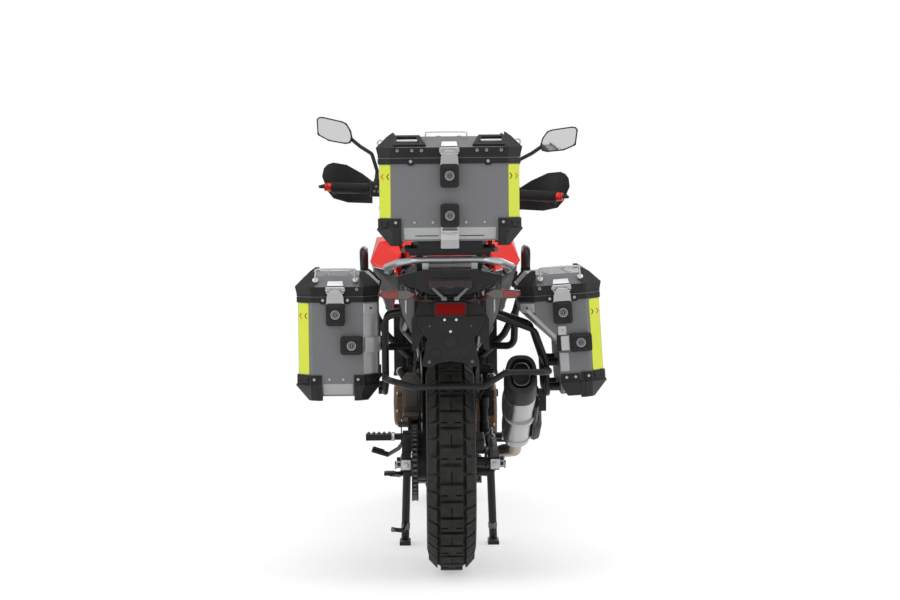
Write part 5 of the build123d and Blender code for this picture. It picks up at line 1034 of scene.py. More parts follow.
def can_section(along, width, height, n=40, power=2.7):
    """A superellipse across the silencer."""
    points = []
    for k in range(n):
        a = 2 * pi * k / n
        c, s = cos(a), sin(a)
        x = copysign(abs(c) ** (2 / power), c) * width / 2
        y = copysign(abs(s) ** (2 / power), s) * height / 2
        points.append(CAN_FRONT + can_way * along + can_x * x + can_y * y)
    return points


can, cap, tip, band, shield = forms(5)
can.rings([can_section(*s) for s in ((-4, 48, 48), (0, 60, 60), (30, 72, 84), (70, 87, 115), (74, 88, 116),
                                     (can_long - 94, 97, 135), (can_long - 88, 97, 135))])
cap.rings([can_section(*s) for s in ((can_long - 92, 99.5, 137.5), (can_long - 60, 98, 134),
                                     (can_long - 12, 92, 124), (can_long - 2, 86, 115), (can_long, 82, 110),
                                     (can_long - 1, 68, 94), (can_long - 30, 60, 84))])
tip.rings([can_section(*s) for s in ((can_long - 30, 52, 74), (can_long - 8, 52, 74), (can_long - 7, 46, 68),
                                     (can_long - 30, 44, 66))], caps=False)
for along in (can_long * 0.5, can_long * 0.17):
    wide, tall = (100, 139) if along > 200 else (91, 120)
    band.rings([can_section(along + d, wide + g, tall + g) for d, g in ((-1, -2), (0, 1.6),
            (22, 2.0), (23, -2))])
    band.screw(CAN_FRONT + can_way * (along + 11) + can_x * (wide / 2 + 2), (1, 0, 0), 5)
shield_rings = []
for along, reach in ((0.155, 30), (0.18, 43), (0.60, 45), (0.655, 38)):
    at_mid = along_can(along)
    shield_rings.append([at_mid + can_x * x + can_y * y for x, y in ((44, -reach), (52, -reach),
            (58.5, -reach + 9), (58.5, reach - 9), (52, reach), (44, reach))])
shield.rings(shield_rings)
for k in range(5):
    at_mid = along_can(0.24 + 0.07 * k)
    shield.rings([[at_mid + can_way * d + can_x * x + can_y * y
                   for y, x in ((-26, 58), (-22, 60.2), (22, 60.2), (26, 58))] for d in (-4, 4)])
flare = []
for along, reach, out in ((0.14, 26, 62), (0.17, 38, 71), (0.38, 42, 73), (0.42, 34, 64)):
    at_mid = along_can(along)
    flare.append([at_mid + can_x * x + can_y * y for x, y in ((50, -reach - 6), (out - 5, -reach),
                                                              (out, -reach + 9), (out, reach - 9),
                                                              (out - 5, reach), (50, reach + 6))])
shield.rings(flare)
tip.screw(along_can(0.62) + can_x * 58.4, (1, 0, 0), 5)
for side in (-1, 1):
    for y in (-40, 40):
        tip.screw(CAN_FRONT + can_way * (can_long - 76) + can_x * (side * 48.5) + can_y * y,
                  (side, 0, 0), 3.6)
can.done("silencer_can", "silencer_steel", replaces=("silencer",), sharp=40)
cap.done("silencer_cap", "silencer_steel", "plastic_black", sharp=40)
tip.done("silencer_outlet", "silencer_steel", "steel_dark", sharp=40)
band.done("silencer_bands", "silencer_steel", sharp=40)
shield.done("silencer_shield", "silencer_steel", "plastic_black", bevel=1.0)

# ---- seat
def ring_section(y, half, low, high, corner, n=10):
    """A rounded rectangle across the machine, as points."""
    points = []
    for cx, cz, start in ((half - corner, high - corner, 0), (corner - half, high - corner, 90),
                          (corner - half, low + corner, 180), (half - corner, low + corner, 270)):
        for k in range(n + 1):
            a = radians(start + 90 * k / n)
            points.append((cx + corner * cos(a), y, cz + corner * sin(a)))
    return points


SEAT = [
    (-90, 118, 872.3, 926, 22), (90, 140, 868, 930, 26), (250, 146, 808, 914, 26), (290, 150, 794, 868, 24),
    (470, 136, 766, 846, 22), (684.7, 80, 768, 854, 20),
]
seat_form = Form()
sections = []
for (y0, *a), (y1, *b) in zip(SEAT, SEAT[1:]):
    for k in range(6):
        t = k / 6
        sections.append((y0 + (y1 - y0) * t, *[p + (q - p) * t for p, q in zip(a, b)]))
sections.append(SEAT[-1])
sections[0] = (-87, *sections[0][1:])
seat_form.rings([ring_section(y, half - 3.5, low + 1, high - 5, corner)
                 for y, half, low, high, corner in sections])
seat = seat_form.done("seat_cushion", "seat_black", replaces=("seat",))
bpy.context.view_layer.objects.active = seat
remesh = seat.modifiers.new("remesh", "REMESH")
remesh.mode = "VOXEL"
remesh.voxel_size = 0.0065
depsgraph = bpy.context.evaluated_depsgraph_get()
fine = bpy.data.meshes.new_from_object(seat.evaluated_get(depsgraph))
seat.modifiers.clear()
seat.data = fine


def seat_edge(y, column):
    """The seat's lower (2) or upper (3) edge at a place along it."""
    return next((a[column] + (b[column] - a[column]) * (y - a[0]) / (b[0] - a[0])
                 for a, b in zip(SEAT, SEAT[1:]) if a[0] <= y <= b[0]), 880)


before = [v.co.copy() for v in fine.vertices]
pins_group = seat.vertex_groups.new(name="base")
for v in fine.vertices:
    y = v.co.y * 1000 + ORIGIN_Y
    if v.co.z * 1000 < seat_edge(y, 2) + 14:
        pins_group.add([v.index], 1.0, "REPLACE")
cloth = seat.modifiers.new("cloth", "CLOTH")
cloth.settings.vertex_group_mass = "base"
cloth.settings.use_pressure = True
cloth.settings.uniform_pressure_force = 4.0
cloth.settings.effector_weights.gravity = 0.0
cloth.settings.tension_stiffness = 12
cloth.settings.shear_stiffness = 6
cloth.settings.bending_stiffness = 2.0
cloth.settings.quality = 4
cloth.point_cache.frame_start, cloth.point_cache.frame_end = 1, 20
for step in range(1, 21):
    bpy.context.scene.frame_set(step)
depsgraph = bpy.context.evaluated_depsgraph_get()
swollen = bpy.data.meshes.new_from_object(seat.evaluated_get(depsgraph))
seat.modifiers.clear()
seat.vertex_groups.clear()
bpy.context.scene.frame_set(1)
SWELL_LIMIT = 0.006
SEAMS = (20.0, 130.0, 238.0, 352.0, 470.0, 590.0)
for v, rest in zip(swollen.vertices, before):
    move = v.co - rest
    if move.length > SWELL_LIMIT:
        v.co = rest + move * (SWELL_LIMIT / move.length)
    y = v.co.y * 1000 + ORIGIN_Y
    if rest.z * 1000 > seat_edge(y, 3) - 26:
        for seam_y in SEAMS:
            v.co.z -= 0.0032 * exp(-((y - seam_y) / 7.0) ** 2)
        v.co.z -= 0.0026 * exp(-((abs(v.co.x) * 1000 - 86 + (0 if y > 250 else 6)) / 6.0) ** 2)
        v.co.z += 0.0030 * (1 - min(1.0, (abs(v.co.x) * 1000 / 120) ** 2))
for polygon in swollen.polygons:
    polygon.use_smooth = True
seat.data = swollen
seat.data.materials.clear()
seat.data.materials.append(M["seat_black"])
smooth = seat.modifiers.new("fine", "SUBSURF")
smooth.levels = smooth.render_levels = 1

# piping along the upper edge, and the strap across the seat
piping = Form()
for side in (-1, 1):
    line = []
    for y0, half, low, high, corner in SEAT[:-1]:
        line.append((side * (half - 2.5), y0 if y0 > -80 else -80, high - corner * 0.62))
    line.append((side * 78.5, 676, 834))
    piping.tube(line, 2.2, 8, 5)
piping.tube([(-140, 262, 868), (-144, 262, 900), (-128, 262, 911), (-60, 262, 916), (60, 262, 916),
             (128, 262, 911), (144, 262, 900), (140, 262, 868)], 2.6, 8, 5)
piping.done("seat_piping", "seat_black", "rubber")
seat_feet = Form()
for side in (1, -1):
    foot = rounded([(side * 98, 206), (side * 118, 206), (side * 118, 230), (side * 98, 230)], 4)
    seat_feet.prism(foot, "z", 812, 848, 1.0)
seat_feet.done("seat_feet", "seat_black", "rubber")

# ---- fork, bars, controls, mirrors
FORK_OFFSET = (FRONT_AXLE - HEAD).dot(AXIS_AHEAD)


def head_point(x, ahead, up):
    return HEAD + AXIS_AHEAD * ahead + AXIS_UP * up + Vector((x, 0, 0))


sliders, seals, caps, hoses, clips, yoke_bolts = forms(6, STEERED)
for side in (-1, 1):
    x = side * 104.0
    mid = head_point(x, FORK_OFFSET, -285)
    axle = Vector((x, FRONT_AXLE.y, FRONT_AXLE.z))
    low = (axle + AXIS_UP * 62 - mid).dot(-AXIS_UP)
    sliders.lathe(mid, -AXIS_UP, [(21.9, 4), (21.9, low), (20, low + 1)], 40)
    seals.lathe(mid, -AXIS_UP, [(27.4, -22), (28.6, -20), (28.6, -2), (27.0, 4), (23.4, 9), (22.4, 15)], 40)
    seals.lathe(axle + AXIS_UP * 61, AXIS_UP, [(26.9, -2), (26.9, 3), (24, 5), (22.2, 5)], 36)
    top = head_point(x, FORK_OFFSET, 121)
    caps.lathe(top, AXIS_UP, [(26, -0.5), (26, 3), (24, 4.5), (17, 4.8), (16, 3.4), (12, 3.4),
                              (12, 7), (0, 7)], 6)
    caps.lathe(top, AXIS_UP, [(7, 6), (7, 11), (6, 12), (0, 12)], 16)
    for z in (-50, -78, 88, 104):
        at_y = head_point(x + side * 6, FORK_OFFSET - 37, z)
        yoke_bolts.bolt(at_y, -AXIS_AHEAD, 5)
    caliper = Vector((side * 90, FRONT_AXLE.y - 96, FRONT_AXLE.z + 92))
    inside = Vector((-side * 8, 0, 0))
    route = [caliper, caliper + Vector((side * 2, 18, 40)), mid - AXIS_AHEAD * 27 - AXIS_UP * 40 + inside,
             mid - AXIS_AHEAD * 32 + AXIS_UP * 20 + inside, mid - AXIS_AHEAD * 32 + AXIS_UP * 130 + inside,
             head_point(x - side * 12, FORK_OFFSET - 40, -100)]
    hoses.tube(route, 3.6, 10, 8)
    for k in (2, 4):
        clips.lathe(Vector(route[k]) - AXIS_UP * 5, AXIS_UP, [(5.4, 0), (5.4, 10), (3.4, 10)], 12)
    pinch = axle - AXIS_UP * 18
    for d in (-8, 8):
        yoke_bolts.bolt(pinch + AXIS_UP * d - AXIS_AHEAD * 26.4, -AXIS_AHEAD, 4.5)
    yoke_bolts.lathe(axle, (side, 0, 0), [(17, 19), (17, 24), (14, 26), (9, 26), (8, 22), (0, 22)], 24)
caps.lathe(head_point(0, 0, 111), AXIS_UP, [(23, -1), (23, 6), (20, 8), (10, 8), (9, 4), (0, 4)], 6)
sliders.done("fork_sliders", "fork_black", "chrome", body="front_end", sharp=50)
seals.done("fork_seals", "fork_black", "rubber", body="front_end")
caps.done("fork_caps", "fork_black", "anodised_red", body="front_end")
hoses.done("front_brake_hoses", "frame_black", "rubber", body="front_end")
clips.done("hose_clips", "frame_black", "steel", body="front_end")
yoke_bolts.done("fork_bolts", "fork_black", "steel", body="front_end")

BAR = head_point(0, -6, 171)
GRIP_Y, GRIP_Z, GRIP_END = BAR.y - 62, 1142.0, 392.0
grips, rings_red, switches, buttons, levers, glass, mirror_rims, clamps, braces = forms(9, STEERED)
for side in (-1, 1):
    end = Vector((side * GRIP_END, GRIP_Y, GRIP_Z))
    inner = Vector((side * 200, BAR.y - 14, GRIP_Z))
    way = (end - inner).normalized()
    start = end - way * 128
    profile = [(16.0, 0), (19.5, 1), (19.5, 5), (17.6, 7)]
    for k in range(14):
        profile += [(17.4, 10 + k * 7.6), (18.6, 12 + k * 7.6), (18.6, 15 + k * 7.6), (17.4, 16.6 + k * 7.6)]
    profile += [(17.6, 120), (19.0, 122), (19.0, 127), (16, 128.3)]
    grips.lathe(start, way, profile, 28)
    rings_red.lathe(end, way, [(13.2, 2), (15.2, 3), (15.2, 14), (13.2, 16)], 28)
    rings_red.lathe(end, way, [(13.2, 18), (14.2, 19), (14.2, 22.5), (12, 24.3), (0, 24.3)], 28)
    box_at = end - way * 158
    u, v = way, Vector(UP)
    w = u.cross(v).normalized() * (1 if u.cross(v).y > 0 else -1)
    outline = soft_rect(-25.5, -27, 25.5, 27, 9)
    switches.rings([[box_at + u * du + w * a * s + v * b * s for a, b in outline]
                    for du, s in ((-24.6, 0.9), (-21, 1.0), (-1.2, 1.0), (0, 0.965), (1.2, 1.0),
                                  (21, 1.0), (24.6, 0.9))])
    for a, b, kind in ((-12, 8, 6.5), (4, 9, 5.0), (-6, -9, 5.5), (10, -8, 4.5)):
        buttons.lathe(box_at + u * a + v * b - w * 25.2, -w, [(kind, -1), (kind, 2.4),
                                                              (kind * 0.8, 3.4), (0, 3.6)], 14)
    lever = [end - way * back + Vector(aside) for back, aside in ((154, (0, 24, -4)), (120, (0, 52, -11)),
            (70, (0, 62, -15)), (0, (side * -22, 58, -16)))]
    for a, b in zip(lever, lever[1:]):
        levers.tube([a, b], 6.4, 10, 1)
    levers.lathe(end + Vector((side * -4, 56, -16)), (side, 0, 0),
                 [(6, -8), (8.5, -5), (9.4, 0), (8.5, 5), (0, 9)], 18)
    clamps.lathe(end - way * 154 + Vector((0, 27, 8)), (0, 0, -1),
                 [(9, 0), (9, 2), (6, 3), (6, 24), (8, 25), (0, 27)], 14)
    clamps.lathe(Vector((side * 238, GRIP_Y + 34, GRIP_Z + 26)), UP,
                 [(10, -4), (10, 8), (8, 10), (7.4, 22), (6.9, 24)], 14)
    outline = [(side * x, z) for x, z in ((436, 1386), (449, 1384), (456, 1376), (451, 1322), (410, 1302),
                                          (352, 1294), (334, 1298), (328, 1318), (334, 1342),
                                          (350, 1366), (366, 1373))]
    outer = rounded(outline, 12)
    glass.prism(shrunk(outer, 4.5), "y", GRIP_Y + 21.6, GRIP_Y + 20.9)
    inner_line = shrunk(outer, 4.2)
    levels = ((shrunk(outer, 0.4), 22.2), (shrunk(outer, 1.2), 20.4), (inner_line, 20.4), (inner_line, 22.0))
    mirror_rims.rings([[(x, GRIP_Y + ahead, z) for x, z in line] for line, ahead in levels], caps=False)
    riser = BAR + Vector((side * 32, 0, 0))
    for d in (-9, 9):
        clamps.lathe(riser + AXIS_AHEAD * d + AXIS_UP * 15, AXIS_UP,
                     [(4.6, -8), (4.6, 4), (2.6, 4.4), (2.2, 2), (0, 2)], 12)
    clamps.rings([[riser + Vector((dx, 0, 0)) + AXIS_AHEAD * a + AXIS_UP * b
                   for a, b in soft_rect(-15.5, -15.5, 15.5, 15.5, 6)] for dx in (-13, 13)])
braces.tube([BAR + Vector((x, -2, up)) for x, up in ((-96, 26), (-60, 34), (60, 34), (96, 26))], 6.0, 12, 4)
braces.rings([[BAR + Vector((dx, -2, 34)) + Vector((0, a, b)) for a, b in soft_rect(-13, -12, 13, 12, 8)]
              for dx in (-44, -41, 41, 44)])
for side in (-1, 1):
    braces.lathe(BAR + Vector((side * 96, -1, 13)), UP, [(9, -14), (9, 14), (5, 18), (0, 19)], 14)
grips.done("grip_sleeves", "frame_black", "rubber", body="front_end")
rings_red.done("bar_end_rings", "frame_black", "anodised_red", body="front_end")
switches.done("switch_housings", "plastic_black", body="front_end")
buttons.done("switch_buttons", "plastic_black", "panel_grey", body="front_end")
levers.done("lever_blades", "frame_black", body="front_end")
clamps.done("bar_clamps", "frame_black", "hub_black", body="front_end")
glass.done("mirror_glass", "plastic_black", "mirror", body="front_end")
mirror_rims.done("mirror_rims", "plastic_black", body="front_end")
braces.done("bar_brace", "frame_black", "rubber", body="front_end")

# ---- tail
def proud_panel(form, outline, y, thick=1.4, chamfer=0.5):
    """A thin sheet on a face that looks rearwards."""
    form.prism(outline, "y", y, y - thick, chamfer)


tail_frame, lens, side_panels, light_strips, plate_screws, hooks, lens_frame = forms(7)
signal_lens, signal_body, lamp_arms, plate_bright = forms(4)
proud_panel(tail_frame, soft_rect(-63, 881.5, 63, 910.5, 6), -388.2, 3.0, 1.0)
lens_out = soft_rect(-59, 884.5, 59, 907.5, 5)
lens.prism(lens_out, "y", -396.0, -400.6, 1.6)
for k in range(-4, 5):
    lens.prism(soft_rect(k * 12.4 - 5, 887, k * 12.4 + 5, 905, 2), "y", -400.2, -401.2, 0.5)
ring = soft_rect(-47, 799, 47, 842, 4)
lens_frame.prism(ring, "y", -352.0, -357.4, 0.8)
lens_frame.prism(soft_rect(-46, 799, 46, 803.5, 2), "y", -357, -359.4, 0.6)
lens_frame.prism(soft_rect(-46, 837.5, 46, 842, 2), "y", -357, -359.4, 0.6)
for side in (-1, 1):
    lens_frame.prism(soft_rect(min(side * 46, side * 42.6), 799, max(side * 46, side * 42.6), 842, 1.6), "y",
                     -357, -359.4, 0.6)
    panel = [(side * x, z) for x, z in ((102, 868), (143, 902), (147, 902), (148, 846), (139, 803),
                                        (113, 747), (72, 759), (103, 800))]
    proud_panel(side_panels, shrunk(rounded(panel, 5), 1.0), -300.2, 2.2, 0.8)
    proud_panel(light_strips, rounded([(side * 126, 880), (side * 131, 884), (side * 131, 812),
                                       (side * 126, 803)], 2), -302.4, 1.4)
    plate_screws.screw((side * 112, -302.6, 770), BACK, 4)
    plate_screws.screw((side * 138, -302.6, 880), BACK, 4)
    plate_bright.screw((side * 17, -350, 790), BACK, 4.8)
    plate_screws.screw((side * 60, -350.2, 772), BACK, 3.4)
    plate_screws.bolt((side * 62, -350.2, 668), BACK, 3.6)
    hooks.tube([(side * 70, -378, 872), (side * 70, -392, 864), (side * 70, -396, 852),
                (side * 60, -398, 848)], 3.0, 8, 5)
    hooks.lathe((side * 58, -398, 848), (-side, 0, 0), [(3, -1), (4.6, 1), (3, 4), (0, 4.6)], 12)
plate_bright.screw((0, -350, 756), BACK, 4.8)
for x, z, r in ((0, 723, 16), (-44, 690, 11), (44, 690, 11)):
    hooks.lathe((x, -350.4, z), BACK, [(r + 0.4, -2.5), (r + 0.4, 1.0), (r + 3.4, 1.6), (r + 4.2, 0.4),
                                       (r + 4.2, -0.6)], 28)
outline = [(-95, 798), (95, 798), (92, 777), (65, 735), (80, 662), (60, 655), (40, 667), (0, 673), (-40, 667),
           (-60, 655), (-80, 662), (-65, 735), (-92, 777)]
for a, b in zip(outline, outline[1:] + outline[:1]):
    hooks.tube([(a[0], -350.6, a[1]), (b[0], -350.6, b[1])], 1.3, 6, 1)
for side in (-1, 1):
    blade = [(side * 150, 877), (side * 197, 872), (side * 199.5, 863), (side * 188, 855), (side * 150, 853)]
    signal_body.prism([(side * 104, 866), (side * 125, 878), (side * 151, 876), (side * 151, 854),
                       (side * 125, 852)], "y", -394.2, -395.4, 0.5)
    lamp_arms.tube([(side * 54, -391, 888), (side * 40, -396, 874), (side * 18, -398, 853)], 4.2, 8, 5)
    lamp_arms.lathe((side * 18, -398, 853), (side, 0, 0), [(3, -8), (5.6, -6), (5.6, 6), (3, 8)], 12)
    signal_lens.prism(shrunk(rounded(blade, 4), 1.0), "y", -393.6, -396.6, 1.0)
    lens_frame.tube([(side * 108, -372, 868), (side * 112, -380, 870)], [7.8, 9.0], 12, 2)
    for k in range(3):
        lens_frame.lathe((side * (70 + k * 8), -327 - k * 1.2, 842.6 + k * 1.2), (side, 0, 0.1),
                         [(6.4, -2), (7.9, -1), (7.9, 1), (6.4, 2)], 14)
tail_frame.done("lamp_surround", "plastic_black", "gloss_black")
lens.done("lamp_lenses", "lamp_red", "smoked")
lens_frame.done("reflector_frame", "plastic_black")
signal_lens.done("indicator_lenses", "lamp_amber", "lens_dark")
signal_body.done("indicator_bodies", "lamp_amber", "signal_grey")
lamp_arms.done("plate_lamp_arms", "frame_black", "panel_grey")
side_panels.done("tail_side_panels", "plastic_black", "panel_grey")
light_strips.done("tail_side_strips", "plastic_black", "steel_satin")
plate_screws.done("plate_screws", "frame_black", "steel_dark")
plate_bright.done("plate_bolts", "frame_black", "steel_bright")
hooks.done("plate_hooks", "frame_black")

# cowl: glossy skin lines and a crease on each side
cowl_lines = Form()
for side in (-1, 1):
    cowl_lines.tube([(side * 147.5, -386, 918), (side * 154.6, -330, 916), (side * 156.4, -100, 905)],
                    1.6, 8, 6)
    cowl_lines.tube([(side * 73, -389, 934.4), (side * 147, -389, 918.6)], 1.6, 8, 3)
    cowl_lines.tube([(side * 92, -388.6, 880.6), (side * 141, -388.6, 904.6)], 1.6, 8, 3)
cowl_lines.tube([(-57, -388.6, 866.8), (57, -388.6, 866.8)], 1.6, 8, 2)
cowl_lines.tube([(-73, -389, 934.4), (73, -389, 934.4)], 1.6, 8, 2)
cowl_lines.done("cowl_edges", "plastic_black", "gloss_black")

# grab rail: flattened dark ends and its bolts; carrier knobs and pads
rail_ends, rail_bolts, knobs, deck_pads = forms(4)
for side in (-1, 1):
    end = Vector((side * 176, 30, 912))
    way = Vector((side * -10, 150, -20)).normalized()
    rail_ends.tube([end - way * 46, end - way * 20, end + way * 1.5], [11.8, 12.6, 11.2], 16, 3)
    rail_bolts.bolt((side * (176 + 12.4), 12, 914), (side, 0, 0), 6)
    rail_bolts.bolt((side * 71, -331, 962 + 10.6), UP, 5)
    for y in (-354, -118):
        knobs.lathe((side * (118 if y < -200 else 100), y, 996.8), UP,
                    [(10, -2), (13, 1), (13, 7), (11, 9.5), (5, 10), (4, 7), (0, 7)], 12)
    for y in (-320, -270, -220, -170):
        deck_pads.prism(soft_rect(side * 112 - 7, y - 16, side * 112 + 7, y + 16, 7), "z", 996.9, 998.6, 0.8)
    for y in (-285, -125):
        rail_bolts.bolt((side * 96.6, y, 950), (side, 0, 0), 5)
rail_ends.done("grab_rail_ends", "rail_silver", "rubber")
rail_bolts.done("rail_bolts", "frame_black", "steel")
knobs.done("rack_knobs", "frame_black", "rubber")
deck_pads.done("rack_pads", "frame_black", "rubber")

# ---- swingarm ends, rear brake, chain guard
blocks, arm_bolts, brake, brake_bolts, guard_skin, arm_pads = forms(6)
for side in (-1, 1):
    x0, x1 = side * 120.5, side * 148.6
    block = soft_rect(min(x0, x1), 316.5, max(x0, x1), 347.5, 3)
    blocks.prism(block, "y", -57.8, -61.6, 1.2)
    arm_bolts.bolt((side * 134.5, -61.6, 332), BACK, 6.4)
    arm_bolts.lathe((side * 148, 0, 332), (side, 0, 0), [(22, 0.2), (22, 3), (20, 4)], 28)
    arm_bolts.lathe((side * 148, 0, 332), (side, 0, 0), [(18, 4), (18, 14.4), (16, 15.6), (11, 15.6),
                                                         (10, 10), (0, 10)], 6)
    arm_pads.prism(rounded([(-38, 316), (-38, 348), (34, 356), (34, 308)], 6), "x", side * 148.2,
                   side * 149.6, 0.6)
    for y in (-20, -8, 12, 24):
        arm_bolts.lathe((side * 149.4, y, 351 if y > 0 else 347), (side, 0, 0), [(0.9, 0), (0.9, 0.8)], 6)
    blocks.lathe((side * 148, 44, 318), (side, 0, 0), [(6.6, 0), (6.6, 8), (9.6, 9), (9.6, 17), (13.4, 18.6),
                                                       (13.4, 21.6), (12, 22.6), (0, 22.6)], 20)
    for y, z in ((120, 351), (300, 363)):
        arm_pads.tube([(side * 121, y, z), (side * 121, y + 60, z + 3)], 1.6, 6, 1)
calliper = rounded([(-12, 400), (44, 420), (66, 402), (58, 366), (10, 352), (-14, 366)], 9)
brake.prism(calliper, "x", 78.5, 104, 3.0)
brake.prism(rounded([(6, 404), (44, 417), (56, 402), (50, 378), (10, 368), (0, 376)], 7), "x", 60, 66.5, 2.0)
brake.prism(soft_rect(4, 410, 46, 424, 5), "x", 64, 80, 2.0)
brake.prism(rounded([(-20, 316), (20, 316), (60, 362), (40, 380), (-6, 362)], 8), "x", 105, 112, 1.2)
for y, z in ((12, 384), (44, 392)):
    brake_bolts.lathe((104, y, z), (1, 0, 0), [(11, -1), (11, 2), (9, 3.4), (0, 3.4)], 20)
brake_bolts.bolt((112, 40, 366), (1, 0, 0), 5)
brake.tube([(100, 56, 400), (118, 90, 408), (135, 130, 392), (136, 220, 384), (135, 330, 394)], 3.6, 10, 8)
for y in (150, 240, 320):
    brake_bolts.lathe((135.5, y - 5, 391 if y < 200 else 386.5 if y < 300 else 393), (0, 1, 0),
                      [(5.6, 0), (5.6, 10)], 12)
guard_skin.rings([[(-x, 31, z) for x, z in ((95, 471.4), (143, 471.4), (146.4, 466), (146.4, 440), (145, 440),
                                            (144.6, 465))], [(-x, 349, z)
                                                             for x, z in ((95, 451.4), (143, 451.4),
        (146.4, 446), (146.4, 424), (145, 424), (144.6, 445))]])
for y, z in ((60, 455), (320, 440)):
    brake_bolts.screw((-146.4, y, z), (-1, 0, 0), 4.4)
heel = Form()
heel.prism(rounded([(-146, 452), (-90, 452), (-90, 556), (-102, 579), (-134, 579), (-146, 560)], 7),
           "y", 306, 300, 2.0)
heel.prism(rounded([(-138, 470), (-98, 470), (-98, 550), (-108, 566), (-130, 566), (-138, 552)], 6), "y",
           300.2, 297.4, 1.6)
heel.done("heel_plate", "plastic_black", "panel_brown")
master, master_caps = Form(), Form()
master.prism(rounded([(98, 436), (146, 436), (146, 590), (132, 604), (98, 604)], 8), "y", 330, 324, 2.0)
master.lathe((112, 306, 380), UP, [(9, -6), (15, -4), (15, 40), (13, 42), (13, 84), (16, 86), (16, 118),
                                   (9, 121), (0, 122)], 20)
master.lathe((124, 300, 520), UP, [(14, 0), (21, 3), (21, 44), (0, 45)], 24)
master_caps.lathe((124, 300, 565), UP, [(22.4, -1), (22.4, 8), (19, 11), (0, 11)], 12)
master.tube([(112, 302, 480), (98, 296, 500), (104, 296, 516), (116, 300, 524)], 5.0, 10, 6)
master.tube([(104, 306, 384), (96, 300, 366), (100, 280, 372), (122, 262, 386)], 3.6, 10, 6)
for z in (452, 588):
    master_caps.screw((136, 324, z), BACK, 5)
master.done("rear_master_cylinder", "frame_black", "hub_black")
master_caps.done("rear_master_caps", "frame_black", "gloss_black")
blocks.done("chain_adjusters", "swingarm_grey", "steel_satin")
arm_bolts.done("rear_axle_nuts", "swingarm_grey", "steel")
arm_pads.done("arm_scales", "swingarm_grey", "steel_dark")
brake.done("rear_brake", "frame_black", "hub_black", bevel=0.6)
brake_bolts.done("rear_brake_bolts", "frame_black", "steel")
guard_skin.done("chain_guard_skin", "plastic_black", "panel_brown")

# ---- engine, radiator, exhaust
ENGINE_REAR = PIVOT_Y + 54
CYL = Vector((0, PIVOT_Y + 300, 430))
lean = radians(16)
cyl_up = Vector((0, sin(lean), cos(lean)))
cyl_out = Vector((0, cos(lean), -sin(lean)))
rim_bolts, details, hoses, plugs, headers, springs, fins, oil = forms(8)
for side, y, z, radius, depth in ((-1, ENGINE_REAR + 262, 420, 76, 87), (1, ENGINE_REAR + 190, 390, 108, 74),
                                  (1, ENGINE_REAR + 325, 330, 50, 42), (-1, ENGINE_REAR + 150, 342, 60, 34)):
    face = side * (92.3 + depth)
    lathe_x(details, Vector((0, y, z)), [(face - side * 0.4, radius * 0.80),
                                         (face + side * 1.4, radius * 0.76),
                                         (face + side * 1.4, radius * 0.60),
                                         (face - side * 0.4, radius * 0.56)], 64)
    details.lathe((face, y, z), (side, 0, 0), [(radius * 0.32, -0.4), (radius * 0.30, 2.2),
                                               (radius * 0.12, 2.6), (0, 2.6)], 32)
    count = 5 if radius < 70 else 8
    for k in range(count):
        a = 2 * pi * (k + 0.3) / count
        rim_bolts.bolt((side * (92.3 + depth - 12), y + (radius + 1.5) * cos(a), z + (radius + 1.5) * sin(a)),
                       (side, 0, 0), 4.6)
        details.lathe((side * 93, y + (radius + 1.5) * cos(a), z + (radius + 1.5) * sin(a)), (side, 0, 0),
                      [(8.4, 0), (8.4, depth - 14), (7, depth - 12.4)], 12)
plugs.lathe((166.6, ENGINE_REAR + 250, 455), (1, 0, 0), [(15, -6), (15, 0), (13, 2), (13, 9), (0, 10)], 8)
plugs.lathe((179.6, ENGINE_REAR + 262, 420), (-1, 0, 0), [(1, 0), (1, 1)], 6)
for side in (-1, 1):
    for k in range(3):
        base = CYL + cyl_up * 247 + Vector((side * 88.5, 0, 0)) + cyl_out * (-50 + 50 * k)
        rim_bolts.bolt(base, (side, 0, 0), 5)
    for k in range(4):
        base = CYL + cyl_up * (160 + 17 * (k % 2)) + Vector((side * 92.2, 0, 0)) + cyl_out * (-66 + 44 * k)
        rim_bolts.bolt(base, (side, 0, 0), 4.6)
    cover = [CYL + cyl_up * 190 + cyl_out * (34 * cos(a)) + cyl_up * (24 * sin(a)) for a in around(28)]
    details.rings([[p + Vector((side * x, 0, 0)) for p in cover] for x in (91.6, 96)])
    for a in (45, 165, 285):
        spot = CYL + cyl_up * 190 + cyl_out * (26 * cos(radians(a))) + cyl_up * (17 * sin(radians(a)))
        rim_bolts.screw(spot + Vector((side * 96, 0, 0)), (side, 0, 0), 3.2)
for x in (-44, 44):
    plugs.lathe(CYL + cyl_up * 265 + Vector((x, 0, 0)), cyl_up,
                [(17, -2), (17, 10), (13, 12), (12, 26), (8, 30), (0, 30)], 20)
    port = CYL + cyl_out * 91.3 + cyl_up * 188 + Vector((x, 0, 0))
    headers.lathe(port, cyl_out, [(27, 0.4), (27, 6), (22, 8), (22, 16), (19.6, 18)], 24)
    for side in (-1, 1):
        springs.lathe(port + Vector((side * 31, 0, 0)), cyl_out,
                      [(7, 0.4), (7, 5), (4, 6), (4, 14), (0, 15)], 8)
        headers.rings([[port + cyl_out * d + Vector((side * a, 0, 0)) + cyl_up * b
                        for a, b in ((18, -12), (38, -8), (38, 8), (18, 12))] for d in (0.5, 5)])
oil.lathe((-30, ENGINE_REAR + 406, 330), (0, 1, -0.1), [(34, -30), (36, -20), (36, 24), (33, 30),
                                                        (22, 33), (0, 33)], 28)
for k in range(14):
    a = 2 * pi * k / 14
    oil.tube([(-30 + 36 * cos(a), ENGINE_REAR + 412, 329 + 36 * sin(a)),
              (-30 + 35 * cos(a), ENGINE_REAR + 432, 327 + 35 * sin(a))], 1.6, 6, 1)
RAD_Y = HEAD.y - 30
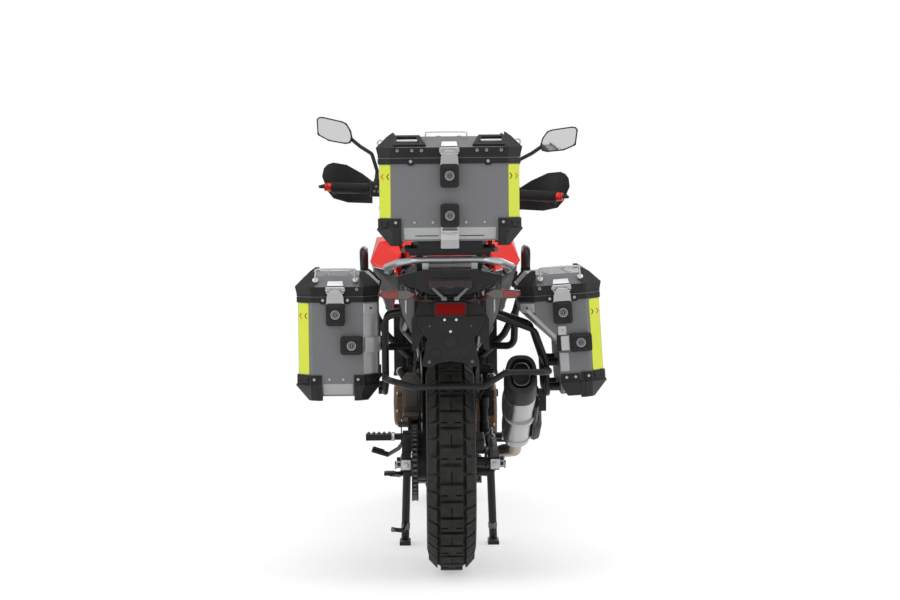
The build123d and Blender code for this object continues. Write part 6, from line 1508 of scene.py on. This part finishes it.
for k in range(46):
    z = 506 + k * 5.0
    ridge = ((34, 0), (36.4, 1.4), (34, 2.6))
    fins.rings([[(x, RAD_Y + ahead, z + up) for ahead, up in ridge] for x in (-146, 146)])
for k in range(24):
    x = -143 + k * 12.4
    ridge = ((0, 33.6), (1.6, 37.4), (3.2, 33.6))
    details.rings([[(x + dx, RAD_Y + ahead, z) for dx, ahead in ridge] for z in (504, 736)])
plugs.lathe((165, RAD_Y + 16, 746), UP, [(17, -2), (17, 3), (22, 5), (22, 12), (19, 15), (0, 15)], 16)
for side in (-1, 1):
    for z in (500, 741):
        bar = ((150, -5.4), (184, -5.4), (184, 39.4), (150, 39.4))
        details.rings([[(side * x, RAD_Y + ahead, z + up) for x, ahead in bar] for up in (-5, 5)])
hoses.tube([(158, RAD_Y + 6, 716), (150, RAD_Y - 36, 722), (120, RAD_Y - 78, 716), (84, RAD_Y - 120, 700)],
           15, 16, 8)
hoses.tube([(-158, RAD_Y + 6, 512), (-150, RAD_Y - 30, 500), (-130, RAD_Y - 62, 470),
            (-110, RAD_Y - 96, 440)], 15, 16, 8)
for place, way in (((158, RAD_Y + 2, 717), (0, -1, 0.1)), ((-158, RAD_Y + 2, 511), (0, -1, -0.2))):
    rim_bolts.lathe(place, way, [(15.6, 2), (16.8, 3), (16.8, 12), (15.6, 13)], 20)
details.done("engine_details", "engine_grey")
rim_bolts.done("engine_bolts", "engine_grey", "steel")
plugs.done("engine_caps", "engine_grey", "rubber")
headers.done("exhaust_flanges", "pipe_steel")
springs.done("exhaust_nuts", "pipe_steel", "steel")
oil.done("oil_filter", "engine_grey", "gloss_black")
fins.done("radiator_fins", "radiator_black", "steel_dark")
hoses.done("coolant_hoses", "radiator_black", "rubber")

# ---- bodywork
FAIRING = [(-352, (171, 886), (158, 822)), (-230, (258, 906), (174, 792)), (-60, (262, 900), (194, 700)),
           (90, (200, 890), (190, 762)), (188, (125, 896), (113, 846))]
lower_trim, trim_line, fairing_screws, vents = forms(4)
for side in (-1, 1):
    rings = []
    for y, belly, hem in FAIRING:
        a, b = Vector(belly), Vector(hem)
        down = (b - a).normalized()
        out_way = Vector((-down.y, down.x)) if -down.y > 0 else Vector((down.y, -down.x))
        p0, p1 = a.lerp(b, 0.16), b - down * 0.5
        ring = [p0 + out_way * 0.1, p1 + out_way * 0.1, p1 + out_way * 1.6, p0 + out_way * 1.6]
        rings.append([(side * p.x, HEAD.y + y, p.y) for p in ring])
    lower_trim.rings(rings)
    line = []
    for y, belly, hem in FAIRING:
        p = Vector(belly).lerp(Vector(hem), 0.16)
        line.append((side * (p.x + 0.8), HEAD.y + y, p.y))
    trim_line.tube(line, 1.7, 8, 1)
    for y, t, (x0, z0), (x1, z1) in ((-300, 0.3, (208, 895), (165, 809)), (-60, 0.82, (262, 900), (194, 700)),
                                     (60, 0.6, (212, 892), (191, 749))):
        spot = Vector((x0, z0)).lerp(Vector((x1, z1)), t)
        fairing_screws.lathe((side * (spot.x + 1.2), HEAD.y + y, spot.y), (side, 0, -0.35),
                             [(6.5, -1), (6.5, 1.4), (4.6, 2.2), (2.4, 2.2), (2.2, 1), (0, 1)], 14)
    for k in range(4):
        y = HEAD.y - 150 + k * 30
        vents.rings([[(side * (out - 9 * j), y + dy + 8 * j, 862 - 34 * j)
                      for out, dy in ((248, 0), (248, 12), (253, 11), (253, 1))] for j in (0, 1.6)])
lower_trim.done("fairing_lower_trim", "plastic_black")
trim_line.done("fairing_trim_line", "panel_red", "mark_white")
fairing_screws.done("fairing_screws", "frame_black", "steel_dark")
vents.done("fairing_vents", "plastic_black")

cap, tank_pads, tank_seam, key = forms(4)
TANK_REAR = PIVOT_Y + 110
cap.lathe((0, TANK_REAR + 215, 1005), UP,
          [(40, -1), (40, 2), (36, 4), (30, 3.2), (29, 5), (12, 6), (0, 6)], 40)
cap.lathe((0, TANK_REAR + 180, 1006), (0, 1, 0), [(5, -12), (5, 12)], 12)
for k in range(6):
    a = 2 * pi * k / 6
    key.screw((33 * cos(a), TANK_REAR + 215 + 33 * sin(a), 1008.4), UP, 3.2)
key.lathe((0, TANK_REAR + 215, 1010.6), UP, [(8, -0.6), (8, 1.4), (6, 2), (0, 2)], 20)
key.prism(rect(-1, TANK_REAR + 210, 1, TANK_REAR + 220), "z", 1012, 1013.2)
TANK = [(TANK_REAR, 82, 766, 852, 30), (TANK_REAR + 90, 112, 776, 940, 40),
        (TANK_REAR + 200, 150, 812, 998, 52)]
for side in (-1, 1):
    rings = []
    for k in range(9):
        t = 0.12 + 0.86 * k / 8
        i = 0 if t < 0.45 else 1
        local = t / 0.45 if i == 0 else (t - 0.45) / 0.55
        y, half, low, high, corner = [p + (q - p) * local for p, q in zip(TANK[i], TANK[i + 1])]
        grow = 1.8 * sin(pi * k / 8) ** 0.5 if 0 < k < 8 else 0.0
        z0, z1 = low + corner + 4, high - corner - 4
        rings.append([(side * (half - 0.4), y, z0), (side * (half + 0.2 + grow), y, z0 + 3),
                      (side * (half + 0.2 + grow), y, z1 - 3), (side * (half - 0.4), y, z1)])
    tank_pads.rings(rings)
tank_seam.tube([(0, TANK_REAR + 4, 853), (0, TANK_REAR + 92, 941), (0, TANK_REAR + 168, 984)], 1.2, 8, 6)
cap.done("fuel_cap", "frame_black", "gloss_black")
key.done("fuel_cap_lock", "frame_black", "steel")
tank_pads.done("knee_pads", "plastic_black", "rubber")
tank_seam.done("tank_seam", "tank_red")

# windscreen edge and fixings, lamps, dash
NOSE_Y = HEAD.y + 210
edge, screen_bolts, bezels, bowls, led, dash_frame, dash_screen, dash_marks, nose_trim = forms(9)
LEAN = radians(27)


def on_screen(x, h, out=0.0):
    """A point of the windscreen's sheet, by its width and height along the sheet."""
    r = 240.0 + out
    y_local = sqrt(max(0.0, r * r - x * x)) - 240.0
    z_local = h - 36.0
    return Vector((x, NOSE_Y - 2 + y_local * cos(LEAN) - z_local * sin(LEAN),
                   980 + y_local * sin(LEAN) + z_local * cos(LEAN)))


outline = [(-112, 40), (-150, 150), (-140, 300), (-96, 390), (96, 390), (140, 300), (150, 150), (112, 40)]
border = []
for a, b in zip(outline, outline[1:]):
    for k in range(8):
        t = k / 8
        border.append(on_screen(a[0] + (b[0] - a[0]) * t, a[1] + (b[1] - a[1]) * t, -2))
border.append(on_screen(112, 40, -2))
edge.tube(border, 2.6, 8, 1)
for x in (-78, 78):
    for h in (62, 124):
        spot = on_screen(x, h, 0)
        normal = Vector((x / 240, cos(LEAN), sin(LEAN))).normalized()
        screen_bolts.lathe(spot, normal, [(9, -6), (9, 1), (7.5, 2.4), (4, 2.8), (3.4, 1), (0, 1)], 16)
        screen_bolts.lathe(spot - normal * 10, normal, [(5, -6), (5, 6)], 10)
    bracket = [on_screen(x, h, -9) for h in (30, 62, 100, 132)]
    screen_bolts.tube(bracket, 5.0, 8, 4)
for x in (-49, 49):
    here = (x, NOSE_Y + 80, 901)
    bezels.lathe(here, (0, 1, 0), [(28, -0.4), (28, 2.2), (25.5, 3.4), (23, 2.0), (22.5, -0.2)], 36)
    bowls.lathe(here, (0, 1, 0), [(22.4, 0.2), (17, 1.2), (9, 0.8), (0, 0.5)], 36)
    for sign in (-1, 1):
        led.prism(soft_rect(x + sign * 35.5 - 3, 876, x + sign * 35.5 + 3, 926, 2.4), "y", NOSE_Y + 80,
                  NOSE_Y + 81.4, 0.5)
    frame_ring = soft_rect(x - 43.5, 868.4, x + 43.5, 933.6, 6)
    inner_ring = soft_rect(x - 40, 872, x + 40, 930, 6)
    levels = ((frame_ring, 79.6), (frame_ring, 83), (inner_ring, 83), (inner_ring, 79.6))
    bezels.rings([[(u, NOSE_Y + out, v) for u, v in line] for line, out in levels], loop=True)
for side in (-1, 1):
    nose_trim.tube([(side * 92, NOSE_Y + 84.4, 944), (side * 66, NOSE_Y + 84.8, 946),
                    (0, NOSE_Y + 85, 946.6)], 1.8, 8, 4)
    nose_trim.tube([(side * 26, NOSE_Y + 20, 846), (side * 30, NOSE_Y + 150, 839),
                    (side * 22, NOSE_Y + 174, 829)], 3.0, 8, 4)
    nose_trim.screw((side * 122, NOSE_Y + 10, 910), (side, 0.1, 0), 5)
    nose_trim.screw((side * 120, NOSE_Y + 26, 866), (side, 0.1, 0), 5)
DASH = BASE @ shift(0, HEAD.y + 54, 1150) @ Matrix.Rotation(radians(-22), 4, "X")
for form in (dash_frame, dash_screen, dash_marks):
    form.frame = DASH
dash_frame.prism(soft_rect(-77, -50, 77, 50, 9), "y", -9.8, -12.6, 1.4)
dash_screen.prism(soft_rect(-68, -38, 68, 42, 5), "y", -12.4, -13.4, 0.5)
dash_marks.prism(soft_rect(-56, -34, -8, -26, 2), "y", -13.3, -13.8)
dash_marks.prism(soft_rect(10, -30, 58, 30, 3), "y", -13.3, -13.7)
for k in range(7):
    dash_marks.prism(rect(-54 + k * 8, 10, -50 + k * 8, 14 + k * 3), "y", -13.3, -13.8)
for x in (-66, 66):
    dash_frame.lathe((x, -12, -44), BACK, [(5, 0), (5, 2), (3, 2.6), (0, 2.6)], 14)
edge.done("screen_edge", "frame_black", "rubber")
screen_bolts.done("screen_bolts", "frame_black", "hub_black")
bezels.done("lamp_bezels", "plastic_black", "gloss_black")
bowls.done("lamp_bowls", "lamp_clear", "chrome")
led.done("lamp_strips", "lamp_clear", "mark_white")
dash_frame.done("dash_bezel", "dash_black", "plastic_black")
dash_screen.done("dash_glass", "dash_black")
dash_marks.done("dash_marks", "dash_black", "panel_grey")
nose_trim.done("nose_trim", "plastic_black", "gloss_black")

# ---- frame fixings, guards, stands, pegs
bolts, welds, bash_ribs, bash_bolts, clamps, rubbers, teeth, springs, fender_bolts, shield_ribs = forms(10)
for form in (fender_bolts, shield_ribs):
    form.frame = STEERED
for side in (-1, 1):
    for x, y, z, r in ((97.4, PIVOT_Y, PIVOT_Z, 12), (94.2, PIVOT_Y - 20, PIVOT_Z + 150, 7),
                       (94.2, PIVOT_Y + 6, PIVOT_Z + 250, 7), (94.2, 453, 242, 9),
                       (94.2, PIVOT_Y - 6, 560, 7)):
        bolts.bolt((side * x, y, z), (side, 0, 0), r)
    for x, y, z in ((108.4, HEAD.y - 164, 392), (123.4, 385, 742), (101.4, -20, 842)):
        bolts.bolt((side * x, y, z), (side, 0, 0), 7)
    for a, b, r in (((134, HEAD.y - 130, 845), (142, PIVOT_Y + 140, 690), 15.4),
                    ((142, PIVOT_Y + 140, 690), (90, PIVOT_Y + 14, 640), 15.4),
                    ((88, PIVOT_Y - 4, 610), (103, 30, 828), 11.4),
                    ((62, HEAD.y - 44, 785), (100, HEAD.y - 62, 640), 14.4)):
        a, b = Vector((side * a[0], *a[1:])), Vector((side * b[0], *b[1:]))
        way = (b - a).normalized()
        for t in (0.2, 0.8):
            spot = a.lerp(b, t)
            welds.lathe(spot, way, [(r, -2.5), (r + 1.3, -1), (r + 1.3, 1), (r, 2.5)], 24)
    for y, z in ((HEAD.y - 70, 602), (HEAD.y - 73, 546)):
        clamps.lathe((side * 128, y, z), (side, 0, 0), [(13, -8), (17, -6), (17, 6), (13, 8)], 20)
    for y, z in ((HEAD.y - 187, 830), (HEAD.y - 32, 850)):
        clamps.lathe((side * (273 if y < HEAD.y - 100 else 281.6), y, z),
                     (0, 0 if y > HEAD.y - 100 else 0.05, 1), [(12.6, -22), (14.2, -20), (14.2, 20),
                (12.6, 22)], 20)
    x = side * 228
    for k in range(5):
        for y in (-19, -9, 1, 11):
            teeth.rings([[(x + dx + k * 17, PIVOT_Y + dy + y, z)
                          for dx, dy in ((x0, y0), (x1, y0), (x1, y1), (x0, y1))]
                         for x0, x1, y0, y1, z in ((-38, -28, -20, -12, 355.6), (-37, -29, -19, -13, 361))])
    helix = [Vector((side * (176 + 0.16 * k), PIVOT_Y - 20 + 13.4 * cos(k * 0.7), 346 + 13.4 * sin(k * 0.7)))
             for k in range(64)]
    springs.tube(helix, 1.6, 6, 1)
    bolts.bolt((side * 132.4, PIVOT_Y + 28, PIVOT_Z + 128), (side, 0, 0), 7)
    bolts.bolt((side * 132.4, PIVOT_Y - 2, PIVOT_Z + 60), (side, 0, 0), 6)
    for k in range(6):
        y = PIVOT_Y + 120 + k * 52
        bash_ribs.prism(soft_rect(side * 62 - 22, y - 7, side * 62 + 22, y + 7, 6), "z", 176.2, 174.4, 0.8)
    for y, z in ((PIVOT_Y + 122, 210), (PIVOT_Y + 366, 212), (PIVOT_Y + 500, 262)):
        bash_bolts.bolt((side * 112, y, z), (side, 0, 0), 6)
    for k in range(4):
        t0 = Vector((PIVOT_Y + 478 + k * 18, 202 + k * 30))
        bash_ribs.rings([[(side * x2, t0.x + d * 0.5, t0.y + d * 0.86)
                          for x2, d in ((24, -5), (84, -5), (84, 5), (24, 5))],
                         [(side * x2, t0.x + d * 0.5 + 3, t0.y + d * 0.86 - 1.8)
                          for x2, d in ((26, -4), (82, -4), (82, 4), (26, 4))]])
toe_from, toe_to = Vector((-198, PIVOT_Y + 164, 266)), Vector((-254, PIVOT_Y + 160, 284))
rubbers.tube([toe_from.lerp(toe_to, 0.3), toe_to + Vector((1.4, 0, -0.4))], 10.4, 14, 1)
for k in range(4):
    spot = toe_from.lerp(toe_to, 0.4 + 0.16 * k)
    rubbers.lathe(spot, (-56, -4, 18), [(10, -1.6), (11.4, 0), (10, 1.6)], 16)
for k in range(5):
    spot = Vector((146 + k * 10, PIVOT_Y + 163 - k * 0.8, 314))
    teeth.lathe(spot, (1, -0.08, 0), [(9, -1.8), (10.2, 0), (9, 1.8)], 16)
for side in (-1, 1):
    fender_bolts.bolt((side * (82.6 - 6), FRONT_AXLE.y - 130, FRONT_AXLE.z + 285 + 15.2), UP, 5)
shield_radius = FRONT_AXLE.z + 14 + 8.4
for x in (-24, 24):
    arc = []
    for k in range(20):
        a = radians(38 + 100 * k / 19)
        arc.append(Vector((x, FRONT_AXLE.y + shield_radius * cos(a), FRONT_AXLE.z + shield_radius * sin(a))))
    shield_ribs.tube([p for p in arc if p.z > FRONT_AXLE.z + 250], 2.6, 8, 2)
bolts.done("frame_bolts", "frame_black", "steel_dark")
welds.done("frame_welds", "frame_black")
bash_ribs.done("bash_ribs", "guard_aluminium")
bash_bolts.done("bash_bolts", "frame_black", "steel")
clamps.done("crash_bar_clamps", "frame_black", "rubber")
teeth.done("peg_teeth", "frame_black", "steel_dark")
springs.done("peg_springs", "frame_black", "steel")
rubbers.done("gear_lever_rubber", "frame_black", "rubber")
fender_bolts.done("fender_bolts", "frame_black", "steel", body="front_end")
shield_ribs.done("fender_ribs", "plastic_black", body="front_end")

stand_feet, side_foot = Form(), Form()
for side in (-1, 1):
    for k in range(4):
        y = 505 - 36 + k * 22
        stand_feet.prism(soft_rect(side * 144 - 15, y - 4, side * 144 + 15, y + 4, 3), "z", 12, 14.2, 0.8)
    stand_feet.lathe((side * 142, 494, 60), (side * 0.03, 0.2, -1),
                     [(13.4, -10), (14.6, -8), (14.6, 8), (13.4, 10)], 20)
stand_feet.tube([(-178, 408.5, 61.6), (-186, 405, 62.4)], [7.6, 8.6], 12, 2)
stand_feet.done("stand_feet", "frame_black", "steel_dark", body="centre_stand")
for k in range(5):
    side_foot.prism(soft_rect(-192 - 14, PIVOT_Y + 66 - 184 - 16 + k * 8, -192 + 14,
                              PIVOT_Y + 66 - 184 - 13 + k * 8, 1.4), "z", 243, 244.6, 0.4)
side_foot.lathe((-142, PIVOT_Y + 66, 222), (-0.978, -0.207, 0),
                [(12.4, 10.2), (12.4, 12.4), (8, 13), (0, 13)], 16)
side_foot.done("side_stand_details", "frame_black", "steel_dark", body="side_stand")

# ---- fittings on the inner side of the cases
for name in ("right", "left"):
    case_frame, width, length, corner, bevel, bottom, seam, top = CASES[name]
    w, l = width / 2, length / 2
    wall_y = -l
    inward = -1 if name == "right" else 1
    face_half = corner * sqrt(2) / 2
    guard, bright, painted_sheen_plates, fixings = forms(4, case_frame)
    if name == "right":
        # the inner lower guard, folded under the case with its outer corner cut off
        rings = [(bottom + 62, -12, 44, 4.6), (bottom + 41, -13, 45, 5.0), (bottom + 35, -13, 45, 7.6),
                 (bottom + 14, -6, 45, -6.4), (bottom - 6, 6, 45, -22.0)]
        guard.rings([[(x0, wall_y + 3 - out, z), (x1, wall_y + 3 - out, z),
                      (x1 - 1.5, wall_y - out - 1.6, z - 0.6), (x0 + 1.5, wall_y - out - 1.6, z - 0.6)]
                     for z, x0, x1, out in rings])
        for x in (4, 31):
            fixings.screw((x, wall_y - 6.6, bottom + 52), BACK, 4.8)
        bright.prism(soft_rect(-12, 728, 12, 756, 3), "y", wall_y - 0.2, wall_y - 3.4, 0.8)
        fixings.screw((2, wall_y - 3.4, 742), BACK, 4.2)
        # lighter plates on the rear face beside the guard: painted sheen
        painted_sheen_plates.prism(soft_rect(-12, 620, 15, 676, 3), "y", wall_y - 0.2, wall_y - 2.0, 0.6)
        slope = [(-104, 806), (-96, 812), (-14, 724), (-14, 708)]
        painted_sheen_plates.prism(slope, "y", wall_y - 0.2, wall_y - 2.2, 0.6)
    here = facing(case_frame, (inward * (w - corner / 2), -l + corner / 2, 0), (-inward, 1))
    tab, tab_screw = Form(here), Form(here)
    tab.prism(soft_rect(-face_half + 3, 800, face_half - 3, 828, 3), "y", 0.0, -3.4, 0.8)
    tab_screw.screw((0, -3.4, 814), BACK, 4.2)
    tab.done(name + "_case_tab", "case_grey", "plate_white")
    tab_screw.done(name + "_case_tab_screw", "frame_black", "steel_dark")
    if name == "right":
        guard.done("right_case_inner_guard", "plastic_black", bevel=0.4)
        bright.done("right_case_catch", "guard_aluminium", "plate_white")
        painted_sheen_plates.done("right_case_painted_sheen_plates", "case_grey", "case_painted_sheen")
        fixings.done("right_case_fixings", "frame_black", "steel")

low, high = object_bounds()
{"cad": [list(cad_low), list(cad_high)], "visual": [list(low), list(high)]}
